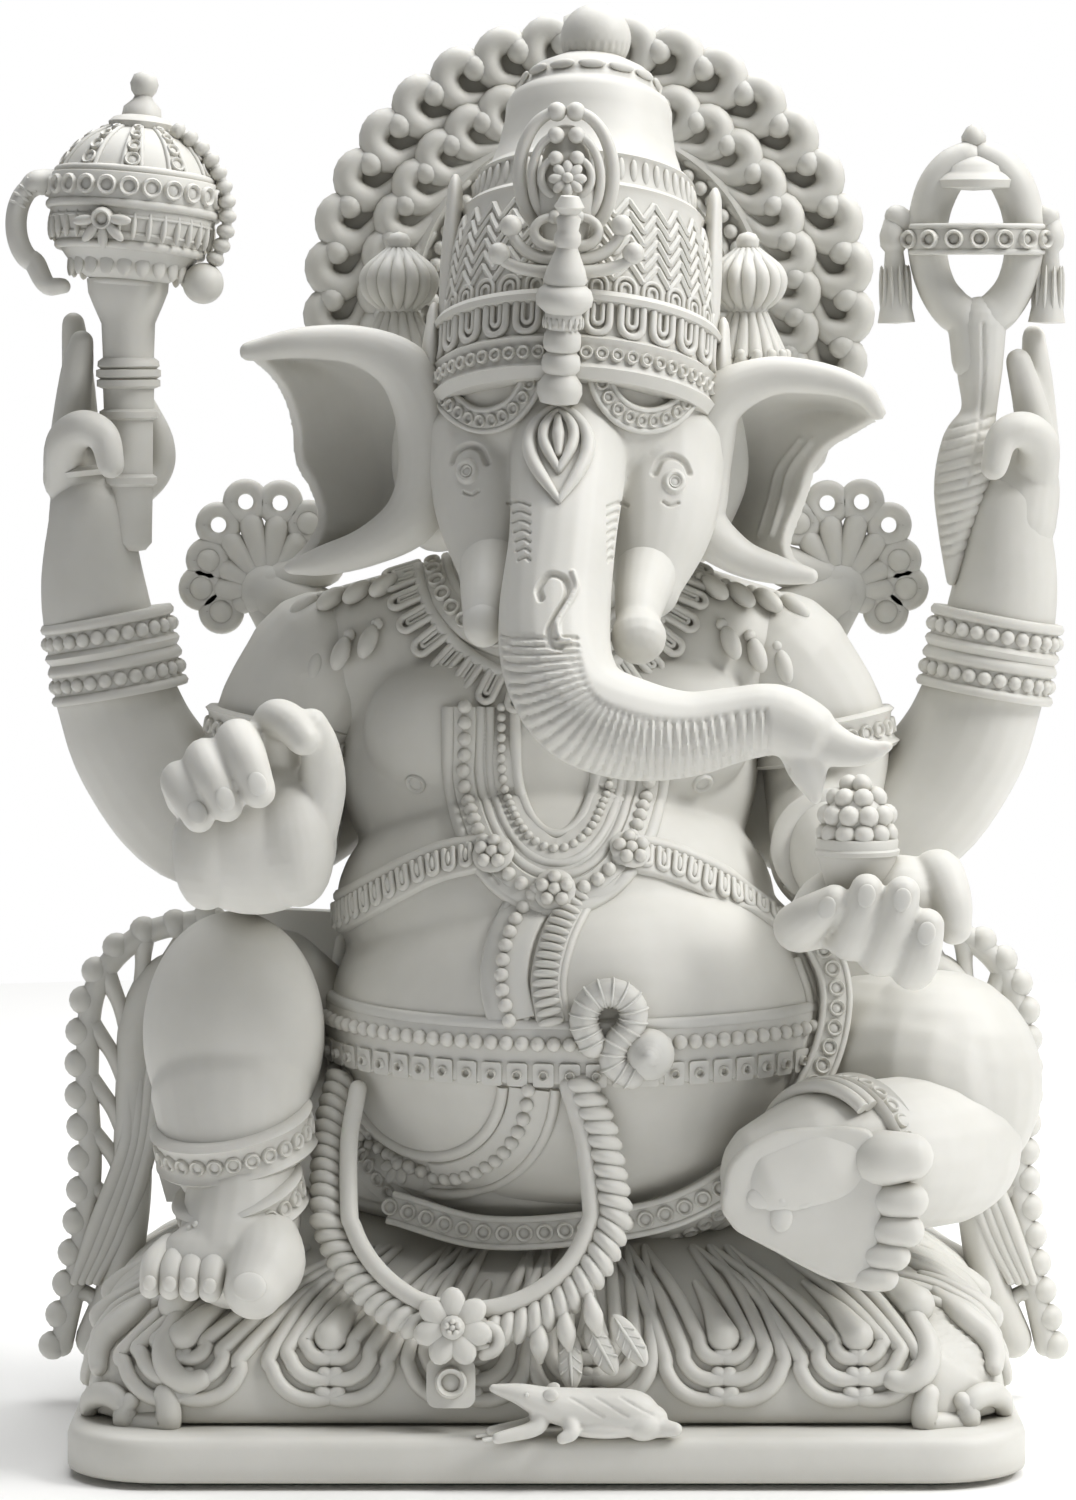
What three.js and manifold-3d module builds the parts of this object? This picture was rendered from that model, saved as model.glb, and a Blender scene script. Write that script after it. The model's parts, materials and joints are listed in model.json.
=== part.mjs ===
// A seated Ganesha idol in cast marble resin, built as its separate carved and bonded pieces.
// Millimetres, +Z up, the idol faces -Y, and the origin is the middle of the plinth's underside.
// Right and left are the idol's own: its right hand is on the -X side.
import * as THREE from "three";
import { mergeVertices } from "three/addons/utils/BufferGeometryUtils.js";
import Module from "manifold-3d";

// Driving dimensions, in millimetres.
const PLINTH = { width: 147, depth: 112, corner: 15, top: 8, y: -3 };
const FELT = { thickness: 1, inset: 5 };
const SEAT_TOP = 36;
const BODY_X = 5.5; // the figure's middle, a little to its left of the plinth's middle
const BELLY = { at: [BODY_X, -10, 65], radii: [41, 36, 31] };
const CHEST = { at: [1, 2, 106], radii: [34, 21, 33] };
const HEAD = { at: [4.5, -17, 158], radii: [22, 20, 25] };
const CROWN = { foot: [4.5, -19, 168], lean: 14, height: 50 };
const HALO = { x: 7, z: 180, y: 22, thickness: 5, disc: 37, rim: 46, scallops: 28 };
const SCROLL = { z: 139, radius: 13, lobes: 7, holeRing: 7.5, hole: 1.5 };
const SCREEN = { middle: 3, z: 38, rise: 42, y: 16, thickness: 5 };
const SCREEN_RIGHT = { out: -1, x: -43, reach: 40, foot: 41.5 };
const SCREEN_LEFT = { out: 1, x: 49, reach: 38.4, foot: 33 };
const MACE = { x: -66.8, y: 4, grip: 139, head: 194.5, radius: 13.6, lean: 1.2 };
const NOOSE = { x: 67.5, y: 4, collar: 187 };
const JOINT_GAP = 0.3; // bonded faces keep this much room for the glue
const FINEST_EDGE = 0.12;
const LEVEL = [0, 0, 0]; // no turn

const MARBLE = { color: "#dddad2", roughness: 0.5, metalness: 0 };
const FELT_GREEN = { color: "#3b4a3f", roughness: 1, metalness: 0 };

const wasm = await Module();
wasm.setup();

// ---------- solids and geometries ----------

function solidOf(geometry) {
  const bare = geometry.index ? geometry.toNonIndexed() : geometry.clone();
  bare.deleteAttribute("normal");
  bare.deleteAttribute("uv");
  const merged = mergeVertices(bare, 1e-4);
  return new wasm.Manifold(
    new wasm.Mesh({
      numProp: 3,
      vertProperties: merged.attributes.position.array,
      triVerts: new Uint32Array(merged.index.array),
    }),
  );
}

function geometryOf(solid) {
  const mesh = solid.getMesh();
  const geometry = new THREE.BufferGeometry();
  geometry.setAttribute("position", new THREE.BufferAttribute(mesh.vertProperties, 3));
  geometry.setIndex(new THREE.BufferAttribute(mesh.triVerts, 1));
  geometry.computeVertexNormals();
  return geometry;
}

function largestBody(solid) {
  const bodies = solid.decompose();
  return bodies.reduce((best, body) => (body.volume() > best.volume() ? body : best));
}

// ---------- shape makers: each returns a function of how far the shape is grown ----------

const radians = THREE.MathUtils.degToRad;

function placed(geometry, at, turn = LEVEL) {
  const euler = new THREE.Euler(...turn.map(radians));
  return geometry.applyMatrix4(new THREE.Matrix4().makeRotationFromEuler(euler)).translate(...at);
}

function ball(at, radii, turn, segments = 12) {
  return (grow) => {
    const sphere = new THREE.SphereGeometry(1, segments, Math.round(segments * 0.6));
    sphere.rotateX(Math.PI / 2);
    sphere.scale(...radii.map((r) => r + grow));
    return solidOf(placed(sphere, at, turn));
  };
}

// A limb or tube of changing radius through the given points, with round ends.
function limb(points, radii, sides = 8, steps = 2) {
  return (grow) => {
    const curve = new THREE.CatmullRomCurve3(points.map((p) => new THREE.Vector3(...p)));
    const count = steps * (points.length - 1);
    const frames = curve.computeFrenetFrames(count, false);
    const rings = [];
    const ringAt = (i, push, share) => {
      const t = i / count;
      const place = t * (radii.length - 1);
      const low = Math.min(Math.floor(place), radii.length - 2);
      const radius = THREE.MathUtils.lerp(radii[low], radii[low + 1], place - low) + grow;
      const centre = curve.getPoint(t).addScaledVector(frames.tangents[i], push * radius);
      return { centre, radius: radius * share, i };
    };
    const capAngles = [90, 50].map(radians);
    capAngles.forEach((a) => rings.push(ringAt(0, -Math.sin(a), Math.cos(a))));
    for (let i = 0; i <= count; i++) rings.push(ringAt(i, 0, 1));
    capAngles.reverse().forEach((a) => rings.push(ringAt(count, Math.sin(a), Math.cos(a))));
    return solidOf(lofted(rings, frames, sides));
  };
}

// Straight round-ended lengths joined at each point, for fingers and sharp bends.
function chain(points, radii, sides = 5) {
  const lengths = points.slice(1).map((p, i) => {
    return limb([points[i], p], [radii[i], radii[i + 1]], sides, 1);
  });
  return joined(...lengths);
}

function lofted(rings, frames, sides) {
  const positions = [];
  const corner = (ring, k) => {
    const angle = (2 * Math.PI * (k % sides)) / sides;
    return ring.centre
      .clone()
      .addScaledVector(frames.normals[ring.i], ring.radius * Math.cos(angle))
      .addScaledVector(frames.binormals[ring.i], ring.radius * Math.sin(angle));
  };
  const face = (...corners) => corners.forEach((c) => positions.push(c.x, c.y, c.z));
  for (let j = 0; j + 1 < rings.length; j++) {
    for (let k = 0; k < sides; k++) {
      const [a, b] = [corner(rings[j], k), corner(rings[j], k + 1)];
      const [c, d] = [corner(rings[j + 1], k + 1), corner(rings[j + 1], k)];
      if (j > 0) face(a, b, c);
      if (j + 2 < rings.length) face(a, c, d);
    }
  }
  return new THREE.BufferGeometry().setAttribute(
    "position",
    new THREE.Float32BufferAttribute(positions, 3),
  );
}

// A turned piece: profile is [radius, height] pairs from the axis and back to it.
function turned(at, profile, turn, segments = 14) {
  return (grow) => {
    const heights = profile.map((p) => p[1]);
    const middle = (Math.min(...heights) + Math.max(...heights)) / 2;
    const outline = profile.map(([r, z]) => {
      return new THREE.Vector2(r > 0 ? r + grow : 0, z + (z > middle ? grow : -grow));
    });
    const lathe = new THREE.LatheGeometry(outline, segments);
    lathe.rotateX(Math.PI / 2);
    return solidOf(placed(lathe, at, turn));
  };
}

// A flat plate standing in the XZ plane, from y forwards and back by half its thickness.
function upright(shape, thickness, y, segments = 6) {
  return (grow) => {
    const depth = thickness + 2 * grow;
    const plate = new THREE.ExtrudeGeometry(shape, {
      depth,
      bevelEnabled: false,
      curveSegments: segments,
    });
    plate.rotateX(Math.PI / 2);
    return solidOf(plate.translate(0, y + depth / 2, 0));
  };
}

function flat(shape, bottom, top) {
  return (grow) => {
    const plate = new THREE.ExtrudeGeometry(shape, {
      depth: top - bottom + grow,
      bevelEnabled: false,
      curveSegments: 6,
    });
    return solidOf(plate.translate(0, 0, bottom));
  };
}

// A sheet of even thickness between two fans of points, for a cupped ear.
function cuppedSheet(outline, centre, thickness) {
  return (grow) => {
    const reach = thickness / 2 + grow;
    const front = outline.map(([x, y, z]) => new THREE.Vector3(x, y - reach, z));
    const back = outline.map(([x, y, z]) => new THREE.Vector3(x, y + reach, z));
    const [mid, behind] = [-reach, reach].map(
      (push) => new THREE.Vector3(centre[0], centre[1] + push, centre[2]),
    );
    const positions = [];
    const face = (...corners) => corners.forEach((c) => positions.push(c.x, c.y, c.z));
    outline.forEach((_, i) => {
      const next = (i + 1) % outline.length;
      face(mid, front[i], front[next]);
      face(behind, back[next], back[i]);
      face(front[i], back[i], back[next]);
      face(front[i], back[next], front[next]);
    });
    const sheet = new THREE.BufferGeometry().setAttribute(
      "position",
      new THREE.Float32BufferAttribute(positions, 3),
    );
    return solidOf(sheet);
  };
}

const joined = (...makers) => (grow) => makers.map((m) => m(grow)).reduce((a, b) => a.add(b));
const within = (maker, limit) => (grow) => maker(grow).intersect(limit(grow));

function mirrored(points, middle) {
  return points.map(([x, y, z]) => [2 * middle - x, y, z]);
}

// ---------- outlines ----------

function roundedBlock(width, depth, corner, y) {
  const shape = new THREE.Shape();
  const [w, d] = [width / 2 - corner, depth / 2 - corner];
  shape.absarc(w, y + d, corner, 0, Math.PI / 2);
  shape.absarc(-w, y + d, corner, Math.PI / 2, Math.PI);
  shape.absarc(-w, y - d, corner, Math.PI, 1.5 * Math.PI);
  shape.absarc(w, y - d, corner, 1.5 * Math.PI, 2 * Math.PI);
  shape.closePath();
  return shape;
}

function circleHole(x, z, radius) {
  const hole = new THREE.Path();
  hole.absarc(x, z, radius, 0, 2 * Math.PI, true);
  return hole;
}

// A disc with a scalloped edge, as a round or a flower.
function scalloped(x, z, radius, lobe, count, steps = 4) {
  const points = [];
  for (let i = 0; i < count * steps; i++) {
    const angle = (2 * Math.PI * i) / (count * steps);
    const r = radius - lobe + lobe * Math.abs(Math.sin((angle * count) / 2));
    points.push(new THREE.Vector2(x + r * Math.cos(angle), z + r * Math.sin(angle)));
  }
  return new THREE.Shape(points);
}

// One half of the pierced screen: an arched fan of bars standing on the seat's edge.
function screenShape({ out, x, reach, foot }) {
  const rim = (share, degrees) => {
    const a = radians(degrees);
    return [x + out * reach * share * Math.cos(a), SCREEN.z + SCREEN.rise * share * Math.sin(a)];
  };
  const shape = new THREE.Shape();
  const inner = SCREEN.middle + out * 0.2;
  shape.moveTo(inner, SCREEN.z + SCREEN.rise);
  for (let a = 90; a >= 0; a -= 10) shape.lineTo(...rim(1, a));
  shape.lineTo(x + out * foot, 6);
  shape.lineTo(x + out * (foot - 10), 6);
  shape.lineTo(x + out * 24, 26);
  shape.lineTo(inner, 26);
  shape.closePath();
  for (let a = 4; a < 80; a += 17) {
    const corners = [rim(0.72, a + 2), rim(0.88, a), rim(0.88, a + 10), rim(0.72, a + 8)];
    shape.holes.push(new THREE.Path(corners.map((c) => new THREE.Vector2(...c))));
  }
  return shape;
}

// ---------- the pieces, in the order in which each is fitted to those before it ----------

const pieces = [];
const piece = (name, make, finish = MARBLE) => pieces.push({ name, make, finish });

function buildSeat() {
  const { width, depth, corner, top, y } = PLINTH;
  const pad = roundedBlock(width - 2 * FELT.inset, depth - 2 * FELT.inset, corner - FELT.inset, y);
  piece("felt_pad", (grow) => flat(pad, 0, FELT.thickness)(Math.min(grow, 0)), FELT_GREEN);
  piece("plinth", (grow) => {
    const outline = roundedBlock(width + 2 * grow, depth + 2 * grow, corner + grow, y);
    return flat(outline, FELT.thickness, top)(grow);
  });
  const cushion = joined(
    flat(roundedBlock(width - 4, depth - 12, corner, y + 3), top, 21),
    within(
      ball([0, y + 5, 8], [width * 0.6, depth * 0.56, SEAT_TOP - 8], LEVEL, 20),
      flat(roundedBlock(width - 4, depth - 12, corner, y + 3), top, SEAT_TOP),
    ),
  );
  piece("lotus_cushion", cushion);
}

function buildTrunkOfBody() {
  piece("belly", ball(BELLY.at, BELLY.radii, LEVEL, 18));
  piece("chest", joined(
    ball(CHEST.at, CHEST.radii, LEVEL, 14),
    limb([[-30, 3, 122], [1, 2, 126], [32, 3, 122]], [13, 16, 13]),
    limb([[3, 0, 124], [4, -6, 146]], [15, 15]),
  ));
  piece("hips", ball([BODY_X - 1, 0, 42], [42, 32, 14], LEVEL, 14));
}

function buildLegs() {
  piece("right_shin", joined(
    limb([[-48, -27, 73], [-48.5, -31, 62], [-48.5, -37, 44]], [11, 15.5, 9.5], 14),
    turned([-48.5, -35.5, 49], [[0, -3], [13.2, -3], [13.8, 3], [0, 3]], [10, 5, 0]),
  ));
  piece("right_thigh", limb([[-46, -10, 66], [-36, 2, 54], [-22, 8, 46]], [14, 16, 15]));
  piece("right_foot", joined(
    limb([[-48, -38, 36], [-47, -47, 34], [-47, -54, 32]], [9, 9, 5.5]),
    turned([-48, -38.5, 41], [[0, -2.4], [11.4, -2.4], [10.6, 2.4], [0, 2.4]], [6, -6, 0]),
  ));
  piece("left_thigh", limb([[60, -20, 57], [46, -8, 52], [26, 6, 46]], [15.5, 17, 15], 14));
  piece("left_shin", joined(
    limb([[62, -27, 48], [52, -38, 46], [38, -44, 45]], [10, 10, 8]),
    turned([47, -40, 46], [[0, -2.4], [12, -2.4], [12, 2.4], [0, 2.4]], [15, 65, 0]),
  ));
  piece("left_foot", ball([42, -51, 41], [17, 6.5, 11], [0, 12, 0]));
}

function buildFrontArms() {
  piece("right_upper_arm", joined(
    limb([[-37, 0, 121], [-43, 3, 109], [-42, 2, 97]], [12.5, 11, 9.5]),
    turned([-42.5, 2.5, 109], [[0, -3.2], [13.4, -3.2], [13.4, 3.2], [0, 3.2]], [0, 10, 0]),
  ));
  piece("right_forearm", limb([[-42, -2, 94], [-44, -24, 93], [-44, -40, 93]], [9.5, 8.5, 7.5]));
  const fingers = [0, 1, 2, 3].map((i) => {
    const [x, z] = [-54 + i * 4.9, 105 + i * 3.2];
    return limb([[x, -50, z], [x, -55.5, z + 2], [x + 1.2, -59, z - 5]], [3.8, 3.5, 2.8], 6, 1);
  });
  piece("right_hand", joined(
    ball([-44.5, -50, 98], [12.5, 7.5, 12]),
    ball([-45.5, -53, 105], [9.5, 7, 9], LEVEL, 14),
    limb([[-33.5, -50, 102], [-34, -54, 111], [-36.5, -57, 116]], [4, 3.3, 2.6], 6, 1),
    ...fingers,
  ));
  piece("left_upper_arm", joined(
    limb([[38, 0, 121], [46, 2, 110], [44, 0, 99]], [12, 10.5, 9]),
    turned([45.5, 1.5, 110], [[0, -3.2], [13, -3.2], [13, 3.2], [0, 3.2]], [0, -10, 0]),
  ));
  piece("left_forearm", joined(
    limb([[43, -4, 96], [46, -22, 91], [49, -34, 88]], [8.5, 7.5, 6.5]),
    turned([45, -15, 93], [[0, -3], [10.8, -3], [10.8, 3], [0, 3]], [70, 0, 0]),
  ));
  piece("left_hand", joined(
    ball([51, -43, 86.5], [13, 9.5, 6.5]),
    ...[0, 1, 2, 3].map((i) => {
      const x = 45.5 + i * 5;
      return limb([[x, -48, 88], [x + 0.6, -54, 86.5], [x + 1, -57, 79]], [3.2, 3.2, 2.6], 6, 1);
    }),
  ));
  piece("sweet_bowl", turned([46.5, -46, 0], [
    [0, 91], [5.2, 91], [5.6, 93], [7.4, 98.5], [7.4, 100], [0, 100],
  ]));
  piece("sweets", within(
    ball([46.5, -46, 100], [7, 7, 7.5]),
    turned([46.5, -46, 0], [[0, 100], [9, 100], [9, 110], [0, 110]]),
  ));
}

function buildRearArms() {
  const armPoints = [[-32, 12, 99], [-48, 11, 95], [-61, 9, 101], [-69.5, 7, 115]];
  const forearmPoints = [[-71, 6, 119], [-73.5, 5, 138], [-74, 4, 150]];
  const bandAt = [-70.5, 6.5, 123];
  const bandProfile = [[0, -6], [11, -6], [10.5, 0], [10.5, 6], [0, 6]];
  for (const [side, middle] of [["right", 0], ["left", 1]]) {
    const swap = (points) => (side === "right" ? points : mirrored(points, middle));
    const tilt = side === "right" ? 8 : -8;
    piece(side + "_rear_forearm", limb(swap(forearmPoints), [8, 7.6, 6.2]));
    piece(side + "_rear_upper_arm", limb(swap(armPoints), [9.5, 10.5, 10.5, 9.2]));
    piece(side + "_rear_armlet", turned(swap([bandAt])[0], bandProfile, [0, -tilt, 0]));
  }
}

function buildMace() {
  const { x, y, grip, head, radius, lean } = MACE;
  piece("mace_handle", turned([x, y, 0], [
    [0, grip], [4.6, grip], [4.2, 150], [4.2, 158], [5.2, 160], [4.2, 164], [5.4, 168],
    [4.4, 170], [5.6, 178], [6.5, head - radius + 1], [0, head - radius + 1],
  ], LEVEL, 14));
  const globe = ball([x + lean, y, head], [radius, radius, radius], LEVEL, 14);
  const finial = turned([x + 2 * lean, y, head], [
    [0, radius - 2], [4.4, radius - 2], [4.4, radius + 0.2], [3.2, radius + 2],
    [1.6, radius + 3.4], [2.5, radius + 6], [0, radius + 8.2],
  ], LEVEL, 14);
  const ribbon = chain(
    [[-76, y, 200], [-81.5, y, 200], [-84, y, 193], [-81.5, y, 187], [-80, y, 182], [-75.5, y, 184.5]],
    [2, 2.1, 2.1, 1.9, 1.8, 1.4],
  );
  const beadString = limb(
    [[-59, y - 1, 207], [-53, y - 2, 202], [-50.5, y - 2, 193.5], [-52, y - 2, 186], [-54.5, y - 2, 181.5]],
    [1.3, 1.5, 1.5, 1.5, 3], 8, 2,
  );
  piece("mace_head", joined(globe, finial, ribbon, beadString));
  const handPoints = [[-75, 3, 152], [-74.5, 0, 158], [-71, -3, 158.5], [-69, -4.5, 153.5]];
  piece("right_rear_hand", joined(
    limb([[-73.5, 4, 146], [-72.5, 8, 154]], [6.2, 5]),
    chain(handPoints, [3.6, 3.2, 2.8, 2.4]),
    chain([[-75.5, 9, 152], [-75.5, 10, 162], [-74.5, 9, 175]], [4, 3.4, 2.6]),
    chain([[-71, 10, 150], [-63.5, 11.5, 154], [-65, 11.5, 163]], [4.4, 3, 2.2]),
  ));
}

function buildNoose() {
  const { x, y, collar } = NOOSE;
  const strand = (side) => limb([
    [x + side * 1.6, y - 1, 171],
    [x + side * 5, y, 180],
    [x + side * 7.2, y, collar],
    [x + side * 6, y, 195],
    [x + side * 1, y, 199.5],
  ], [3.4, 2.8, 2.7, 3, 3.4], 8, 2);
  piece("noose_loop", joined(
    strand(-1),
    strand(1),
    limb([[x + 0.5, y - 1, 175], [x - 2, y - 1, 163], [x - 4, y - 1, 152], [x - 3, y - 1, 135]],
      [4.6, 4, 4.6, 1], 10, 2),
    turned([x, y, 199], [
      [0, -1], [6, -1], [5.6, 2.6], [2, 4.6], [1.3, 6], [2.3, 7.6], [0, 10],
    ], LEVEL, 14),
  ));
  const tassel = (out) => chain(
    [[x + out * 9, y, 189], [x + out * 13, y, 190], [x + out * 12.5, y, 180], [x + out * 13, y, 176]],
    [2, 2.1, 1.6, 2.3],
  );
  const band = turned([x, y, collar], [[0, -2.4], [10.2, -2.2], [10.2, 2.2], [0, 2.4]]);
  piece("noose_collar", joined(band, tassel(-1), tassel(1)));
  piece("left_rear_hand", joined(
    limb([[75.5, 4, 146], [77, 5, 154]], [6.2, 5.4]),
    chain([[77.5, 2, 150], [77, -2, 156.5], [74, -5, 157.5], [71.5, -6.2, 152.5]],
      [3.8, 3.2, 2.8, 2.4]),
    chain([[78, 8, 152], [78.5, 9, 162], [76.5, 8, 171]], [4, 3.4, 2.8]),
  ));
}

function buildHead() {
  piece("head", joined(
    ball(HEAD.at, HEAD.radii, LEVEL, 14),
    limb([[-5, -20, 152], [-6, -32, 142]], [13, 7.5]),
    limb([[14, -20, 152], [13, -32, 142]], [13, 7.5]),
  ));
  piece("trunk", limb(
    [[4, -34, 158], [3, -42, 146], [1.8, -50, 133], [4.5, -55, 120], [15, -58, 113.5],
      [28, -60, 114], [38, -61, 115.5], [46, -62, 112]],
    [8, 9.3, 9.6, 9, 7.6, 6.6, 6, 3], 12, 3,
  ));
  piece("right_tusk", limb([[-8, -33, 141], [-8.6, -42, 135], [-8.8, -46, 132]], [5.2, 4.4, 3.6], 10));
  piece("left_tusk", limb([[14.5, -34, 139], [13.8, -44, 132], [14, -48, 128]], [4.6, 3.7, 3.7], 10));
  const rightEar = [
    [-16, -16, 168], [-28, -18, 172], [-46, -24, 173], [-38, -20, 164], [-34.5, -17, 155],
    [-30, -16, 146], [-38, -20, 139], [-30, -20, 138], [-18, -15, 143], [-15, -13, 155],
  ];
  piece("right_ear", cuppedSheet(rightEar, [-26, -9, 157], 4));
  piece("left_ear", cuppedSheet(mirrored(rightEar, 4.5).reverse(), [35, -9, 157], 4));
}

function buildCrown() {
  const { foot, lean, height } = CROWN;
  const turn = [-lean, 0, 0];
  piece("crown", turned(foot, [
    [0, 4], [22.5, 4], [22.8, 8], [21.5, 13], [21.5, 20], [20.3, 28], [18, 36], [15, 41],
    [15.8, 44], [13, 47], [8, height], [0, height],
  ], turn, 18));
  piece("crown_knob", ball([8, -6, 220.4], [6.2, 6, 6]));
  piece("crown_plume", joined(
    ball([4.5, -35.5, 195], [8.5, 4.5, 10.5], [14, 0, 0], 14),
    limb([[4.5, -36, 190], [4.5, -39.5, 181], [4.5, -42.5, 170], [4, -42, 163]],
      [3.4, 4.2, 3.6, 4], 8, 2),
  ));
  for (const [side, x] of [["right", -23.4], ["left", 32]]) {
    piece("hair_bud_" + side, joined(
      ball([x, -1, 183], [5.6, 5.2, 5.6], LEVEL, 14),
      turned([x, -1, 0], [[0, 168], [7, 168], [4.2, 173], [4, 178], [0, 178]], LEVEL, 14),
    ));
  }
}

function buildBacking() {
  const { x, y, z, disc, rim, scallops } = HALO;
  const half = HALO.thickness / 2;
  const discProfile = [[0, -half], [disc, -half], [disc, half], [0, half]];
  piece("halo_disc", turned([x, y, z], discProfile, [90, 0, 0], 44));
  const ring = scalloped(x, z, rim, 1.6, scallops, 2);
  ring.holes.push(circleHole(x, z, disc + JOINT_GAP));
  piece("halo_rim", upright(ring, 7, y, 16));
  for (const [side, cx, out] of [["right", -51, -1], ["left", 54, 1]]) {
    const flower = scalloped(cx, SCROLL.z, SCROLL.radius, 2.6, SCROLL.lobes, 4);
    for (const degrees of [60, 100, 140]) {
      const a = radians(out < 0 ? degrees : 180 - degrees);
      const holeX = cx + SCROLL.holeRing * Math.cos(a);
      const holeZ = SCROLL.z + SCROLL.holeRing * Math.sin(a);
      flower.holes.push(circleHole(holeX, holeZ, SCROLL.hole));
    }
    const stem = limb([[cx, 15, 136], [cx - out * 16, 13, 128]], [4, 6], 10);
    piece("shoulder_scroll_" + side, joined(upright(flower, 6, 16, 3), stem));
  }
  piece("screen_right", upright(screenShape(SCREEN_RIGHT), SCREEN.thickness, SCREEN.y));
  piece("screen_left", upright(screenShape(SCREEN_LEFT), SCREEN.thickness, SCREEN.y));
}

function buildJewellery() {
  const around = (centre, radii, low, high, tilt, reach) => within(
    ball(centre, radii.map((r) => r + reach), LEVEL, 18),
    turned([centre[0], centre[1], 0], [[0, low], [80, low], [80, high], [0, high]], tilt),
  );
  const knot = chain(
    [[8, -46, 72], [11, -49.5, 75], [14.5, -48.5, 71], [12, -49, 66], [15.5, -49, 64.5]],
    [2.6, 2.8, 2.8, 2.8, 2.4],
  );
  piece("belt", joined(around(BELLY.at, BELLY.radii, 60.5, 69.5, LEVEL, 2.2), knot));
  piece("chest_strap", around([2, -4, 94], [37, 29, 40], 86, 92, LEVEL, 2));
  piece("collar", limb(
    [[-25, -5, 140], [-20, -18, 130], [-8, -24, 121], [3, -25, 118.5], [15, -24, 121],
      [28, -18, 130], [33, -5, 140]],
    [5, 5.5, 6, 6, 6, 5.5, 5], 6, 1,
  ));
  piece("long_necklace", limb(
    [[-13, -21, 114], [-12.5, -25, 104], [-7, -28, 95], [3, -30, 91], [13, -28, 95],
      [18, -25, 104], [18.5, -21, 114]],
    [3.6, 3.6, 3.8, 4.2, 3.8, 3.6, 3.6], 6, 1,
  ));
  piece("sacred_thread", limb(
    [[0, -37, 88], [-2.5, -42, 79], [-2, -45.5, 71.5]],
    [3.8, 3.8, 3.8], 6, 1,
  ));
  piece("belt_loop", limb(
    [[-28, -31, 60], [-24, -36, 51], [-13, -38, 45], [-2, -40, 48], [1.5, -43, 59]],
    [2.8, 3, 3, 3, 2.8], 6, 1,
  ));
  const rope = limb(
    [[6, -44, 59], [11, -42, 49], [15, -41, 41], [13, -43, 33.5], [4, -49, 27], [-8, -52, 23.5],
      [-19, -50, 27], [-27, -45, 35], [-31, -40, 45], [-31, -37, 56]],
    [2.9, 3, 3, 3.2, 3.4, 3.6, 3.6, 3.4, 3, 2.6], 6, 1,
  );
  const blossom = joined(
    upright(scalloped(-14, 24, 6.2, 1.2, 7, 4), 3.2, -55.2),
    ball([-14, -56.6, 24], [1.6, 1.6, 1.6], LEVEL, 10),
  );
  piece("garland", joined(rope, blossom));
  piece("loincloth_hem", limb(
    [[-28, -31, 41.5], [-12, -36, 35], [8, -38, 34], [26, -36, 39], [38, -30, 50], [45, -20, 64],
      [45, -16, 76]],
    [2.6, 2.6, 2.6, 2.8, 3, 3, 2.8], 6, 1,
  ));
}

function buildMouse() {
  piece("mouse", joined(
    ball([8, -57, 12.6], [8.2, 3.8, 4.2], LEVEL, 14),
    limb([[3, -57.5, 13], [-1.5, -58, 15.2], [-7.5, -58, 17]], [3.2, 2.8, 0.9], 10, 2),
    limb([[0, -58, 10.5], [-7, -59.5, 9.3]], [1.6, 1.1], 8, 2),
    limb([[15, -57, 11], [19, -58, 9.8]], [1.6, 1.2], 8, 2),
  ));
}

buildSeat();
buildTrunkOfBody();
buildHead();
buildLegs();
buildFrontArms();
buildRearArms();
buildMace();
buildNoose();
buildCrown();
buildJewellery();
buildMouse();
buildBacking();

// ---------- fitting: every piece gives way to those before it ----------

const overlapping = (a, b) => [0, 1, 2].every((i) => a.min[i] < b.max[i] && b.min[i] < a.max[i]);

const idol = new THREE.Group();
const fitted = [];
for (const { name, make, finish } of pieces) {
  let solid = make(0);
  for (const earlier of fitted) {
    if (overlapping(solid.boundingBox(), earlier.grown.boundingBox())) {
      solid = solid.subtract(earlier.grown);
    }
  }
  solid = largestBody(solid.simplify(FINEST_EDGE));
  fitted.push({ grown: make(JOINT_GAP) });
  const mesh = new THREE.Mesh(geometryOf(solid), new THREE.MeshStandardMaterial(finish));
  mesh.name = name;
  idol.add(mesh);
}

export default idol;
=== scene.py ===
"""A seated Ganesha idol in cast marble resin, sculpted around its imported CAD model.

The pieces are drawn in millimetres in the CAD's own frame: +Z up, the idol faces -Y, and
right and left are the idol's own. Each drawing names the CAD node it belongs to and where
that node's middle stood when it was drawn, so a piece follows its node.
"""

import json
import math

import bmesh
import bpy
import numpy as np
from mathutils import Matrix, Vector
from mathutils.bvhtree import BVHTree

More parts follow.
